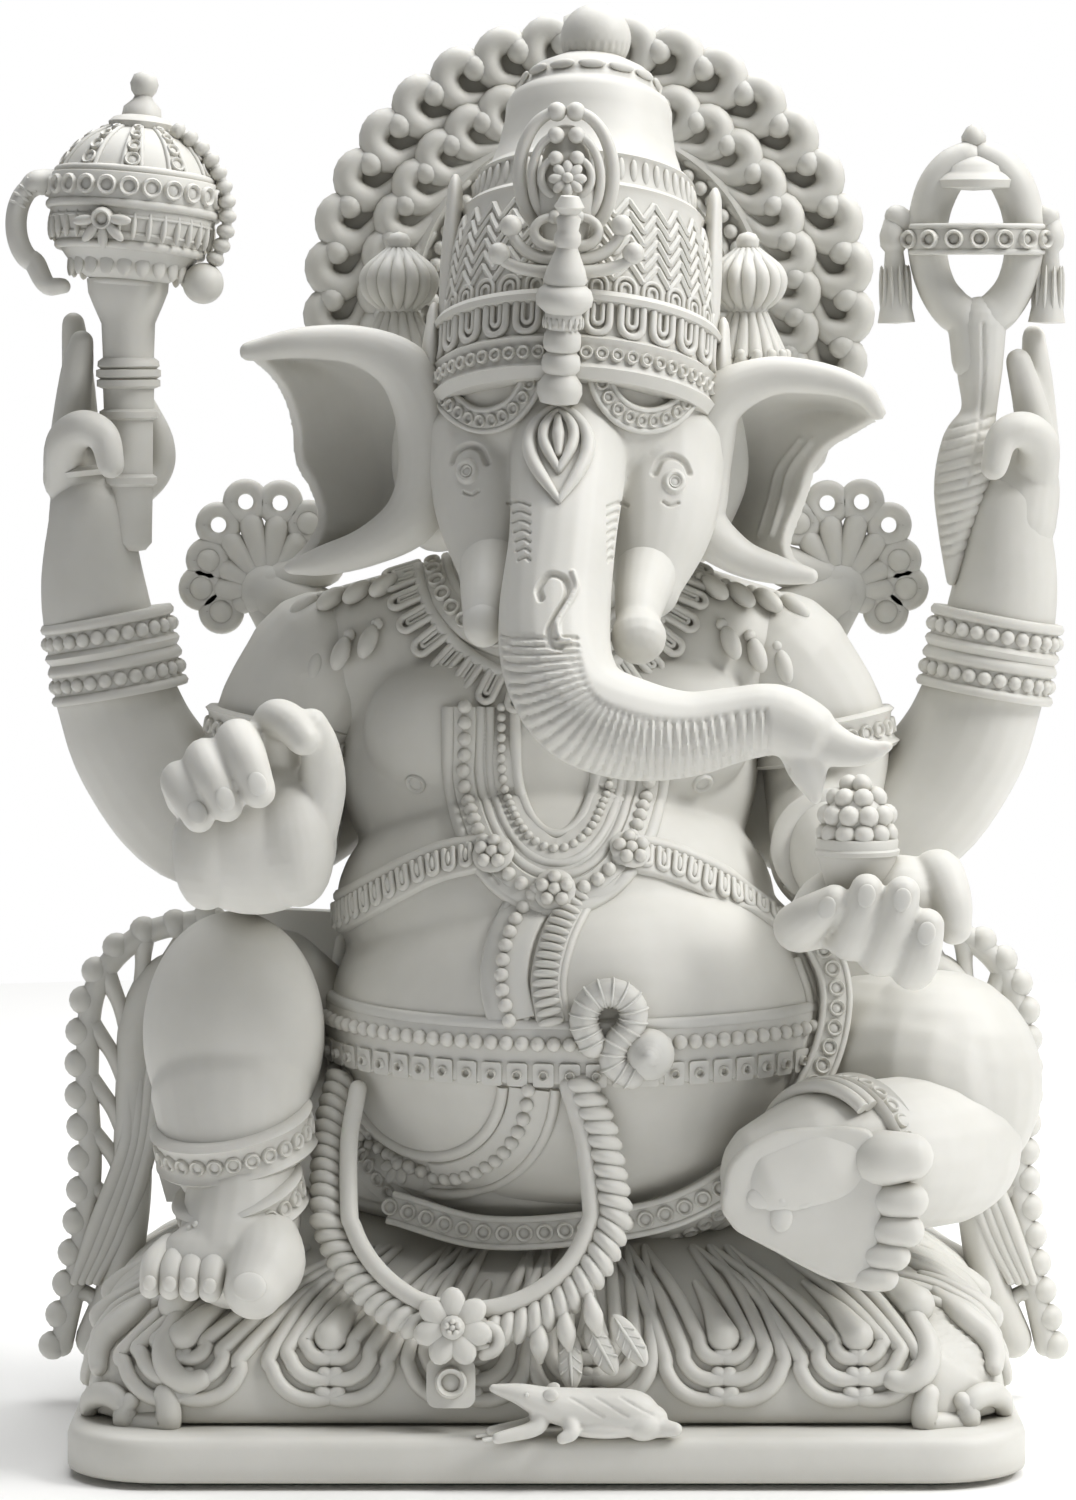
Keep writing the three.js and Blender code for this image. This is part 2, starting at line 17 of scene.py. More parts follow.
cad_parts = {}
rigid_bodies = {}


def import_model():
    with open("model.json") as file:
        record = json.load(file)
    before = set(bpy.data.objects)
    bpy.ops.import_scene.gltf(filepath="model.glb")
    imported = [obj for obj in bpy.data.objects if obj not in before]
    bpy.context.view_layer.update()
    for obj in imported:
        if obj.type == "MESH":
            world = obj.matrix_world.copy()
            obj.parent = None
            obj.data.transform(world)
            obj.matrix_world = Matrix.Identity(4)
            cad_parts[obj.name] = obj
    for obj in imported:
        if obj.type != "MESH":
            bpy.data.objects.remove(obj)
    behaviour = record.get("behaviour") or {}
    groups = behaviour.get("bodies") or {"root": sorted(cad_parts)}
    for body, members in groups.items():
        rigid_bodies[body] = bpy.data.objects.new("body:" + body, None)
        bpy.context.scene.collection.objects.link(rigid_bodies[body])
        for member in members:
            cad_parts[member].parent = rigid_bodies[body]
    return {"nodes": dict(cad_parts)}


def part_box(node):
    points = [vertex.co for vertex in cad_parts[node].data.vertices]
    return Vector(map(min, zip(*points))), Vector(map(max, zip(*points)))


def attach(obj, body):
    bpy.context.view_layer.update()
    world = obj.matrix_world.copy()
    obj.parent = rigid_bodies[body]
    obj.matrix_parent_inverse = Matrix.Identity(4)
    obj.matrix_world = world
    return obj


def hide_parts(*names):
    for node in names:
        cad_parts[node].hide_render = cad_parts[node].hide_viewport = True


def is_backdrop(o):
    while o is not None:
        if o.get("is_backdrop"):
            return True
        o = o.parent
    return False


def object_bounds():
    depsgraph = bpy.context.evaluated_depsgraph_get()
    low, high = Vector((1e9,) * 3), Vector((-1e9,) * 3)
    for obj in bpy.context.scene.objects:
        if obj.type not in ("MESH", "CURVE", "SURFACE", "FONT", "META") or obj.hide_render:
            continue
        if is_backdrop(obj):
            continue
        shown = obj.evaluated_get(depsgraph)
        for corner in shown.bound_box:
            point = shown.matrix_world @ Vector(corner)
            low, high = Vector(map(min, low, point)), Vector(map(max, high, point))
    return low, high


bl_info = {
    "name": "Ganesha idol",
    "version": (1, 0, 0),
    "blender": (4, 5, 0),
    "location": "View3D > Sidebar > Idol",
    "description": "Sculpts a seated Ganesha idol in marble resin, piece by piece",
    "category": "Add Mesh",
}

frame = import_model()
CAD_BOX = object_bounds()
MM = 0.001
LEAN = (-4, 5, 0)  # the mace head leans back and towards the idol's left
CARVED = "_carved"  # ends the name of each piece that stands for CAD nodes
FINISHES = {"marble_resin": "cast_marble_resin_sanded", "felt": "pressed_felt"}
RAY_START = 200  # how far off a ray towards the pieces starts, in millimetres
LINE_START = 300  # the same for a whole line pushed along an axis
BODY_MIDDLE = 0.5  # X of the plane that the rear arms and the collar's drops mirror in

CAMERA_AIM = (-1.3, 0, 108)  # millimetres
CAMERA_AWAY = 0.9  # metres from the aim
CAMERA_RISE = 4  # degrees above level
TABLE_RADIUS = 560  # millimetres
WORLD_GLOW = 0.14  # what the white surroundings give to the pieces; the camera sees them at 1


# ---------- forms: vertices in millimetres, and faces as loops and sizes ----------

class Form:
    """A mesh while it is being shaped."""

    def __init__(self, verts, loops, sizes):
        self.verts = np.asarray(verts, float).reshape(-1, 3)
        self.loops = np.asarray(loops, np.int32).ravel()
        self.sizes = np.asarray(sizes, np.int32).ravel()

    def reshaped(self, verts):
        """The same faces with their vertices in other places."""
        return Form(verts, self.loops, self.sizes)

    def moved(self, by):
        return self.reshaped(self.verts + np.asarray(by, float))

    def flipped(self, sign=-1):
        """Mirrored across XZ where sign is -1, so that what hangs along Y hangs the other way."""
        return self.reshaped(self.verts * (1, sign, 1))

    def quarter_turned(self):
        """Turned a quarter about Z, so that Y lies along X."""
        return self.reshaped(self.verts[:, [1, 0, 2]] * (1, -1, 1))


def joined(*forms):
    """One form of several, each still a closed shell of its own."""
    forms = [f for f in forms if f is not None]
    starts = np.cumsum([0] + [len(f.verts) for f in forms[:-1]])
    return Form(
        np.concatenate([f.verts for f in forms]),
        np.concatenate([f.loops + s for f, s in zip(forms, starts)]),
        np.concatenate([f.sizes for f in forms]),
    )


def quads(verts, faces):
    faces = np.asarray(faces, np.int32)
    return Form(verts, faces, np.full(len(faces), faces.shape[1]))


def turned_by(points, turn):
    """Points turned by degrees about X, then Y, then Z."""
    x, y, z = (math.radians(a) for a in turn)
    turn_matrix = Matrix.Rotation(z, 3, "Z") @ Matrix.Rotation(y, 3, "Y") @ Matrix.Rotation(x, 3, "X")
    return np.asarray(points, float) @ np.array(turn_matrix).T


def tube_faces(rings, sides):
    """Quads between rings of a tube, with its two ends closed by single faces."""
    k = np.arange(sides)
    nxt = (k + 1) % sides
    rows = np.arange(rings - 1)[:, None] * sides
    side = np.stack([rows + k, rows + nxt, rows + nxt + sides, rows + k + sides], -1).reshape(-1, 4)
    loops = np.concatenate([side.ravel(), k[::-1], k + (rings - 1) * sides])
    sizes = np.concatenate([np.full(len(side), 4), [sides, sides]])
    return loops, sizes


def lathe(at, profile, turn=(0, 0, 0), sides=40):
    """A turned piece: profile is [radius, height] pairs from bottom to top."""
    angles = np.linspace(0, 2 * np.pi, sides, endpoint=False)
    rings = [
        np.stack([max(r, 1e-3) * np.cos(angles), max(r, 1e-3) * np.sin(angles), np.full(sides, h)], -1)
        for r, h in profile
    ]
    loops, sizes = tube_faces(len(rings), sides)
    return Form(turned_by(np.concatenate(rings), turn) + np.asarray(at, float), loops, sizes)


def ball(at, radii, turn=(0, 0, 0), rows=12):
    if np.isscalar(radii):
        radii = (radii,) * 3
    bends = np.linspace(-np.pi / 2, np.pi / 2, rows + 1)
    form = lathe((0, 0, 0), [(math.cos(b), math.sin(b)) for b in bends], sides=2 * rows)
    return form.reshaped(turned_by(form.verts * radii, turn) + np.asarray(at, float))


def spline(points, step):
    """A smooth line through the points, evenly stepped; any further columns are carried along."""
    p = np.asarray(points, float)
    if len(p) == 2:
        fine = p[0] + (p[1] - p[0]) * np.linspace(0, 1, 9)[:, None]
    else:
        ends = np.vstack([2 * p[0] - p[1], p, 2 * p[-1] - p[-2]])
        t = np.linspace(0, 1, 17)[:-1, None]
        parts = []
        for a, b, c, d in zip(ends, ends[1:], ends[2:], ends[3:]):
            parts.append(0.5 * (2 * b + (c - a) * t + (2 * a - 5 * b + 4 * c - d) * t ** 2
                                + (3 * b - a - 3 * c + d) * t ** 3))
        fine = np.vstack(parts + [p[-1:]])
    gaps = np.linalg.norm(np.diff(fine[:, :3], axis=0), axis=1)
    along = np.concatenate([[0], np.cumsum(gaps)])
    count = max(2, int(round(along[-1] / step)) + 1)
    stops = np.linspace(0, along[-1], count)
    return np.stack([np.interp(stops, along, fine[:, i]) for i in range(fine.shape[1])], -1)


def unit(v):
    v = np.asarray(v, float)
    return v / np.maximum(np.linalg.norm(v, axis=-1, keepdims=True), 1e-9)


def carried_frames(points, first=None):
    """Tangents and a side direction carried along a line without twisting."""
    tangents = unit(np.gradient(points, axis=0))
    side = np.array([0.0, 0.0, 1.0]) if first is None else np.asarray(first, float)
    if abs(np.dot(unit(side), tangents[0])) > 0.95:
        side = np.array([1.0, 0.0, 0.0])
    sides = []
    for t in tangents:
        side = unit(side - t * np.dot(side, t))
        sides.append(side)
    return tangents, np.array(sides)


def limb(points, radii, flat=1.0, out=None, sides=20, step=None):
    """A round-ended limb whose radii are spread along it. flat thins it along out, its first side."""
    radii = np.atleast_1d(radii)
    if len(radii) != len(points):
        radii = np.interp(np.linspace(0, 1, len(points)), np.linspace(0, 1, len(radii)), radii)
    step = step or max(0.35, 0.22 * float(radii.mean()))
    line = spline(np.column_stack([np.asarray(points, float), radii]), step)
    centre, radius = line[:, :3], line[:, 3]
    tangents, outs = carried_frames(centre, out)
    bends = np.radians([85, 65, 45, 25])
    head = [(centre[0] - tangents[0] * radius[0] * math.sin(b), radius[0] * math.cos(b), 0) for b in bends]
    tail = [(centre[-1] + tangents[-1] * radius[-1] * math.sin(b), radius[-1] * math.cos(b), -1)
            for b in bends[::-1]]
    rings = head + [(c, r, i) for i, (c, r) in enumerate(zip(centre, radius))] + tail
    angles = np.linspace(0, 2 * np.pi, sides, endpoint=False)
    verts = []
    for c, r, i in rings:
        across = np.cross(tangents[i], outs[i])
        verts.append(c + r * (flat * np.outer(np.cos(angles), outs[i]) + np.outer(np.sin(angles), across)))
    loops, sizes = tube_faces(len(rings), sides)
    return Form(np.concatenate(verts), loops, sizes)


def slab(outline, low, high, standing=False):
    """An outline in XY lifted from low to high, or in XZ with its front at low and back at high."""
    outline = np.asarray(outline, float)
    n = len(outline)
    ends = [np.column_stack([outline, np.full(n, h)]) for h in (low, high)]
    verts = np.concatenate(ends)
    if standing:
        verts = verts[:, [0, 2, 1]]
    loops, sizes = tube_faces(2, n)
    return Form(verts, loops, sizes)


def mesh_of(form, name):
    mesh = bpy.data.meshes.new(name)
    mesh.vertices.add(len(form.verts))
    mesh.vertices.foreach_set("co", form.verts.astype(np.float32).ravel())
    mesh.loops.add(len(form.loops))
    mesh.loops.foreach_set("vertex_index", form.loops)
    mesh.polygons.add(len(form.sizes))
    starts = np.concatenate([[0], np.cumsum(form.sizes)[:-1]]).astype(np.int32)
    mesh.polygons.foreach_set("loop_start", starts)
    mesh.update(calc_edges=True)
    mesh.validate()
    return mesh


def form_of(mesh, scale=1.0):
    verts = np.empty(len(mesh.vertices) * 3, np.float32)
    mesh.vertices.foreach_get("co", verts)
    loops = np.empty(len(mesh.loops), np.int32)
    mesh.loops.foreach_get("vertex_index", loops)
    sizes = np.empty(len(mesh.polygons), np.int32)
    mesh.polygons.foreach_get("loop_total", sizes)
    return Form(verts * scale, loops, sizes)


def clay(shapes, grain, rounds=6):
    """Shapes worked into one skin: remeshed at grain millimetres, and rubbed smooth."""
    obj = bpy.data.objects.new("clay", mesh_of(joined(*shapes), "clay"))
    bpy.context.scene.collection.objects.link(obj)
    remesh = obj.modifiers.new("remesh", "REMESH")
    remesh.mode = "VOXEL"
    remesh.voxel_size = grain
    rub = obj.modifiers.new("rub", "SMOOTH")
    rub.factor = 0.5
    rub.iterations = rounds
    solid = bpy.data.meshes.new_from_object(obj.evaluated_get(bpy.context.evaluated_depsgraph_get()))
    form = form_of(solid)
    bpy.data.objects.remove(obj)
    bpy.data.meshes.remove(solid)
    return form


def normals_of(form):
    """Smooth vertex normals."""
    starts = np.concatenate([[0], np.cumsum(form.sizes)[:-1]])
    a = form.verts[form.loops[starts]]
    b = form.verts[form.loops[starts + 1]]
    c = form.verts[form.loops[starts + 2]]
    face = np.cross(b - a, c - a)
    normals = np.zeros_like(form.verts)
    np.add.at(normals, form.loops, np.repeat(face, form.sizes, axis=0))
    return unit(normals)


def distance_to(points, line):
    """Each point's distance to a stepped line."""
    best = np.full(len(points), np.inf)
    for a, b in zip(line, line[1:]):
        ab = b - a
        t = np.clip((points - a) @ ab / max(ab @ ab, 1e-9), 0, 1)
        best = np.minimum(best, np.linalg.norm(points - a - t[:, None] * ab, axis=1))
    return best


def worked(form, lines, width, height):
    """The form with each line raised into a soft ridge, or cut as a groove where height is below 0."""
    push = np.zeros(len(form.verts))
    for line in lines:
        line = np.asarray(line, float)
        low, high = line.min(0) - width, line.max(0) + width
        near = np.nonzero(((form.verts > low) & (form.verts < high)).all(1))[0]
        if not len(near):
            continue
        share = np.clip(1 - (distance_to(form.verts[near], line) / width) ** 2, 0, 1) ** 2
        stronger = np.abs(share * height) > np.abs(push[near])
        push[near] = np.where(stronger, share * height, push[near])
    return form.reshaped(form.verts + normals_of(form) * push[:, None])


def refined(form, lines, reach):
    """The form with its faces cut in three near the lines, so that small work shows."""
    near = np.zeros(len(form.verts), bool)
    for line in lines:
        box = np.nonzero(((form.verts > line.min(0) - reach) & (form.verts < line.max(0) + reach)).all(1))[0]
        near[box[distance_to(form.verts[box], line) < reach]] = True
    mesh = mesh_of(form, "refined")
    fine = bmesh.new()
    fine.from_mesh(mesh)
    edges = [e for e in fine.edges if near[e.verts[0].index] and near[e.verts[1].index]]
    bmesh.ops.subdivide_edges(fine, edges=edges, cuts=2, use_grid_fill=True)
    fine.to_mesh(mesh)
    fine.free()
    form = form_of(mesh)
    bpy.data.meshes.remove(mesh)
    return form


# ---------- laying carved work on a surface ----------

class Surface:
    """A finished form that carved work is laid on."""
    reach = 7.0  # a laid line never jumps further than this between two of its points

    def __init__(self, *forms):
        form = joined(*forms)
        ends = np.cumsum(form.sizes)
        faces = [form.loops[e - s:e].tolist() for e, s in zip(ends, form.sizes)]
        self.tree = BVHTree.FromPolygons(form.verts.tolist(), faces)

    def hit(self, origin, way):
        spot, normal, _, _ = self.tree.ray_cast(Vector(origin), Vector(way))
        return None if spot is None else (np.array(spot), np.array(normal))

    def front_spot(self, x, z):
        """The place and the normal that face the front at x and z, or None where it misses."""
        return self.hit((x, -RAY_START, z), (0, 1, 0))

    def along(self, line, way):
        """The line's points pushed along one axis onto the surface, or None where it misses."""
        way = np.asarray(way, float)
        return self.gathered(line, lambda p: (np.asarray(p) * (way == 0) - way * LINE_START, way))

    def front(self, line):
        """The line's points pushed along +Y onto the surface."""
        return self.along(line, (0, 1, 0))

    def around(self, line, axis):
        """The line's points pushed level towards a standing axis at (x, y)."""
        def ray(p):
            way = unit([axis[0] - p[0], axis[1] - p[1], 0])
            return np.array([axis[0], axis[1], p[2]]) - way * RAY_START, way
        return self.gathered(line, ray)

    def gathered(self, line, ray):
        """A rail of the longest unbroken run of hits, or None where fewer than two points hit."""
        runs = [[]]
        for spot in (self.hit(*ray(p)) for p in line):
            if spot is None:
                continue
            if runs[-1] and np.linalg.norm(spot[0] - runs[-1][-1][0]) > self.reach:
                runs.append([])
            runs[-1].append(spot)
        hits = max(runs, key=len)
        if len(hits) < 2:
            return None
        return Rail(np.array([place for place, _ in hits]), np.array([normal for _, normal in hits]))


class Rail:
    """Points on a surface with their normals, for straps and rows of beads."""

    def __init__(self, points, normals):
        self.points = points
        rubbed = normals.copy()
        for _ in range(4):
            rubbed[1:-1] = (rubbed[:-2] + 2 * rubbed[1:-1] + rubbed[2:]) / 4
        self.tangents = unit(np.gradient(points, axis=0))
        self.normals = unit(rubbed - self.tangents * (rubbed * self.tangents).sum(1, keepdims=True))
        self.across = np.cross(self.tangents, self.normals)

    def stepped(self, step, across=0.0, lift=0.0):
        """The rail again at even steps, shifted across and outwards."""
        points = self.points + self.across * across + self.normals * lift
        line = spline(np.column_stack([points, self.normals]), step)
        return Rail(line[:, :3], unit(line[:, 3:6]))


def strap(rail, section):
    """A section of [across, out] corners swept along the rail."""
    section = np.asarray(section, float)
    rings = [
        p + np.outer(section[:, 0], a) + np.outer(section[:, 1], n)
        for p, a, n in zip(rail.points, rail.across, rail.normals)
    ]
    loops, sizes = tube_faces(len(rings), len(section))
    return Form(np.concatenate(rings), loops, sizes)


def cord_on(rail, radius, sides=10):
    """A round cord half sunk in the surface."""
    angles = np.linspace(0, 2 * np.pi, sides, endpoint=False)
    return strap(rail, np.stack([radius * np.cos(angles), radius * np.sin(angles)], -1)[::-1])


def row(rail, motif, pitch, across=0.0, lift=0.0):
    """Copies of a small form along the rail. It is drawn with X along, Y across and Z out."""
    stops = rail.stepped(pitch, across, lift)
    places = zip(stops.points, stops.tangents, stops.across, stops.normals)
    return joined(*[motif.reshaped(p + motif.verts @ np.stack([t, a, n])) for p, t, a, n in places])


def set_on(motif, point, normal, along=(0, 0, 1)):
    """One copy of a small form on a point, its X turned towards along."""
    n = unit(normal)
    t = unit(np.asarray(along, float) - n * np.dot(along, n))
    return motif.reshaped(np.asarray(point) + motif.verts @ np.stack([t, np.cross(n, t), n]))


def bead(radius, rows=6):
    return ball((0, 0, 0), radius, rows=rows)


def ring_boss(radius, height, wall, sides=20):
    """A flat round boss with a raised rim, like a set disc."""
    inner = radius - wall
    return lathe((0, 0, 0), [
        (radius + 0.1, -0.6), (radius, height * 0.7), (radius - wall * 0.4, height), (inner, height * 0.8),
        (inner * 0.85, height * 0.25), (inner * 0.7, height * 0.35), (0, height * 0.5),
    ], sides=sides)


def u_loop(width, length, wire, base=0.5):
    """A hanging U of round wire, its open end at Y 0 and its bow at Y length."""
    half = width / 2 - wire
    bow = [(half * math.cos(a), length - half - wire + half * math.sin(a), base)
           for a in np.linspace(0, math.pi, 9)]
    return limb([(half, 0, base)] + bow + [(-half, 0, base)], wire, sides=8, step=wire * 0.8)


def sheet(grid, thickness):
    """A curved sheet of even thickness through a grid of points."""
    grid = np.asarray(grid, float)
    normal = unit(np.cross(np.gradient(grid, axis=0), np.gradient(grid, axis=1)))
    rows, cols = grid.shape[:2]
    skins = np.stack([grid + normal * thickness / 2, grid - normal * thickness / 2])
    index = np.arange(2 * rows * cols).reshape(2, rows, cols)

    def patch(a, flip):
        faces = np.stack([a[:-1, :-1], a[1:, :-1], a[1:, 1:], a[:-1, 1:]], -1).reshape(-1, 4)
        return faces[:, ::-1] if flip else faces

    patches = [
        patch(index[0], False), patch(index[1], True),
        patch(index[:, 0, :], True), patch(index[:, -1, :], False),
        patch(index[:, :, 0], False), patch(index[:, :, -1], True),
    ]
    return quads(skins.reshape(-1, 3), np.vstack(patches))


def woven(first, last, sag, count=24, across=14):
    """Grid points between two lines, sagging by the vector sag halfway between them."""
    first, last = (spline(line, 0.5) for line in (first, last))
    a, b = (line[np.linspace(0, len(line) - 1, count).round().astype(int)][:, None] for line in (first, last))
    t = np.linspace(0, 1, across)[None, :, None]
    return a * (1 - t) + b * t + 4 * t * (1 - t) * np.asarray(sag, float)


# ---------- pieces ----------

def middle(node):
    """The middle of a CAD node's box, in millimetres."""
    low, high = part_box(node)
    return np.array((low + high) / 2) / MM


def piece(name, form, nodes, drawn, slot="marble_resin"):
    """Makes the form the visible piece for its CAD nodes, and moves it with the first of them."""
    name = name + CARVED
    moved = form.moved(middle(nodes[0]) - np.asarray(drawn, float))
    moved.verts *= MM
    mesh = mesh_of(moved, name)
    mesh.shade_smooth()
    mesh.set_sharp_from_angle(angle=math.radians(50))
    obj = bpy.data.objects.new(name, mesh)
    bpy.context.scene.collection.objects.link(obj)
    mesh.materials.append(bpy.data.materials[FINISHES[slot]])
    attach(obj, "root")
    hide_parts(*nodes)
    return obj


def surface_of(*names):
    """The surface of finished pieces, in millimetres."""
    return Surface(*[form_of(bpy.data.objects[n + CARVED].data, 1 / MM) for n in names])


# ---------- materials ----------

def linear(hex_colour):
    """An sRGB hex colour as the linear values that shaders use."""
    parts = [int(hex_colour[i:i + 2], 16) / 255 for i in (1, 3, 5)]
    return [p / 12.92 if p <= 0.04045 else ((p + 0.055) / 1.055) ** 2.4 for p in parts] + [1.0]


def add_node(tree, kind, links=None, **settings):
    """A node with its settings and incoming links. A setting named for a socket sets that socket."""
    node = tree.nodes.new(kind)
    for key, value in settings.items():
        socket = node.inputs.get(key.replace("_", " "))
        if socket is None:
            setattr(node, key, value)
        else:
            socket.default_value = value
    for key, source in (links or {}).items():
        tree.links.new(source, node.inputs[key])
    return node


def new_finish(slot):
    """An empty node tree for a material slot's finish, and the object's own coordinates in it."""
    material = bpy.data.materials.new(FINISHES[slot])
    material.use_nodes = True
    tree = material.node_tree
    tree.nodes.clear()
    return tree, add_node(tree, "ShaderNodeTexCoord").outputs["Object"]


def cast_marble_resin(settings):
    """Marble powder bound in clear polyester, poured in a rubber mould and sanded: it glows
    a little where light soaks in, has a dull even sheen, and its powder clouds it faintly."""
    tree, object_space = new_finish("marble_resin")
    cloud = add_node(tree, "ShaderNodeTexNoise", {"Vector": object_space},
                     Scale=1 / settings.cloud_size, Detail=4.0, Roughness=0.6)
    tint = add_node(tree, "ShaderNodeValToRGB", {"Fac": cloud.outputs["Fac"]})
    tint.color_ramp.elements[0].position = 0.3
    tint.color_ramp.elements[0].color = linear(settings.resin_shade)
    tint.color_ramp.elements[1].position = 0.7
    tint.color_ramp.elements[1].color = linear(settings.resin_colour)
    # Painted shade: ambient occlusion darkens the resin's colour towards a warm grey in hollows and creases.
    hollow = add_node(tree, "ShaderNodeAmbientOcclusion", Distance=settings.painted_shade_reach, samples=8)
    painted_shade_weight = add_node(tree, "ShaderNodeMapRange", {"Value": hollow.outputs["AO"]},
                     From_Min=0.25, From_Max=0.85, To_Min=settings.painted_shade_share, To_Max=0.0)
    shaded_tint = add_node(tree, "ShaderNodeMix", {"Factor": painted_shade_weight.outputs["Result"]}, data_type="RGBA")
    tree.links.new(tint.outputs["Color"], shaded_tint.inputs["A"])
    shaded_tint.inputs["B"].default_value = linear(settings.painted_shade_colour)
    grain = add_node(tree, "ShaderNodeTexNoise", {"Vector": object_space},
                     Scale=1 / (0.35 * MM), Detail=3.0, Roughness=0.55)
    rub = add_node(tree, "ShaderNodeMapRange", {"Value": cloud.outputs["Fac"]},
                   From_Min=0.3, From_Max=0.7, To_Min=0.44, To_Max=0.56)
    bump = add_node(tree, "ShaderNodeBump", {"Height": grain.outputs["Fac"]},
                    Strength=0.12, Distance=0.05 * MM)
    shader = add_node(tree, "ShaderNodeBsdfPrincipled", {
        "Base Color": shaded_tint.outputs["Result"],
        "Roughness": rub.outputs["Result"],
        "Normal": bump.outputs["Normal"],
    }, IOR=1.5, Subsurface_Weight=0.12, Subsurface_Scale=1.2 * MM, Specular_IOR_Level=0.42)
    shader.inputs["Subsurface Radius"].default_value = (1.0, 0.85, 0.65)
    add_node(tree, "ShaderNodeOutputMaterial", {"Surface": shader.outputs["BSDF"]})


def pressed_felt(settings):
    """Wool and polyester fibre pressed into a thin pad: matt, with a fine crossed fuzz."""
    tree, object_space = new_finish("felt")
    fibre = add_node(tree, "ShaderNodeTexNoise", {"Vector": object_space},
                     Scale=1 / (0.5 * MM), Detail=6.0, Roughness=0.75, Distortion=1.5)
    tint = add_node(tree, "ShaderNodeValToRGB", {"Fac": fibre.outputs["Fac"]})
    tint.color_ramp.elements[0].color = linear(settings.felt_shade)
    tint.color_ramp.elements[1].color = linear(settings.felt_colour)
    bump = add_node(tree, "ShaderNodeBump", {"Height": fibre.outputs["Fac"]},
                    Strength=0.8, Distance=0.3 * MM)
    shader = add_node(tree, "ShaderNodeBsdfPrincipled", {
        "Base Color": tint.outputs["Color"], "Normal": bump.outputs["Normal"],
    }, Roughness=0.95, Sheen_Weight=0.3, Sheen_Roughness=0.5)
    add_node(tree, "ShaderNodeOutputMaterial", {"Surface": shader.outputs["BSDF"]})


# ---------- sizes and colours a user may change ----------

class IdolSizes(bpy.types.PropertyGroup):
    grain: bpy.props.FloatProperty(
        name="Modelling grain", description="Finest edge of the sculpted skin, in millimetres",
        default=0.55, min=0.3, max=2.0)
    bead: bpy.props.FloatProperty(
        name="Bead radius", description="Radius of the common beads, in millimetres",
        default=1.15, min=0.5, max=2.0)
    halo_curls: bpy.props.IntProperty(
        name="Halo curls", description="Curled leaves in the halo's outer row", default=34, min=8, max=60)


class IdolFinishes(bpy.types.PropertyGroup):
    resin_colour: bpy.props.StringProperty(
        name="Resin", description="sRGB hex colour of the marble resin", default="#e4e3de")
    resin_shade: bpy.props.StringProperty(
        name="Resin cloud", description="sRGB hex colour of its fainter clouds", default="#dbdad4")
    # Painted shade in hollows: its colour, how much the deepest hollows darken, and how wide a hollow still
    # darkens.
    painted_shade_colour: bpy.props.StringProperty(
        name="Painted shade", description="sRGB hex colour of the painted shade in hollows", default="#a7a397")
    painted_shade_share: bpy.props.FloatProperty(
        name="Grime share", description="How much painted shade lies in the deepest hollows",
        default=0.55, min=0, max=1, subtype="FACTOR")
    painted_shade_reach: bpy.props.FloatProperty(
        name="Grime reach", description="How wide a hollow still holds painted shade",
        default=0.006, unit="LENGTH")
    cloud_size: bpy.props.FloatProperty(
        name="Cloud size", description="Width of the powder's faint clouds", default=0.018, unit="LENGTH")
    felt_colour: bpy.props.StringProperty(
        name="Felt", description="sRGB hex colour of the felt pad", default="#4b5f50")
    felt_shade: bpy.props.StringProperty(
        name="Felt shade", description="sRGB hex colour between its fibres", default="#26332b")


# ---------- the seat ----------

def rounded_rectangle(width, depth, corner, y, steps=8):
    w, d = width / 2 - corner, depth / 2 - corner
    points = []
    for cx, cy, start in ((w, d, 0), (-w, d, 90), (-w, -d, 180), (w, -d, 270)):
        for a in np.radians(np.linspace(start, start + 90, steps + 1)):
            points.append((cx + corner * math.cos(a), y + cy + corner * math.sin(a)))
    return points


class IDOL_OT_base(bpy.types.Operator):
    """Felt pad and plinth: a smooth slab with softly rounded edges"""
    bl_idname = "idol.base"
    bl_label = "Base"

    def execute(self, context):
        pad = slab(rounded_rectangle(137, 102, 10, -3), 0, 1)
        piece("felt_pad_felt", pad, ["felt_pad"], (0, -3, 0.5), slot="felt")
        inset = [(0.9, 0.0), (0.25, 0.3), (0, 0.9), (0, 5.2), (0.3, 6.2), (1.0, 6.8), (2.2, 7.0)]
        rings = [np.column_stack([rounded_rectangle(147 - 2 * i, 112 - 2 * i, 15 - i, -3),
                                  np.full(36, 1 + h)]) for i, h in inset]
        loops, sizes = tube_faces(len(rings), 36)
        piece("plinth_slab", Form(np.concatenate(rings), loops, sizes), ["plinth"], (0, -3, 4.5))
        return {"FINISHED"}


# ---------- body ----------

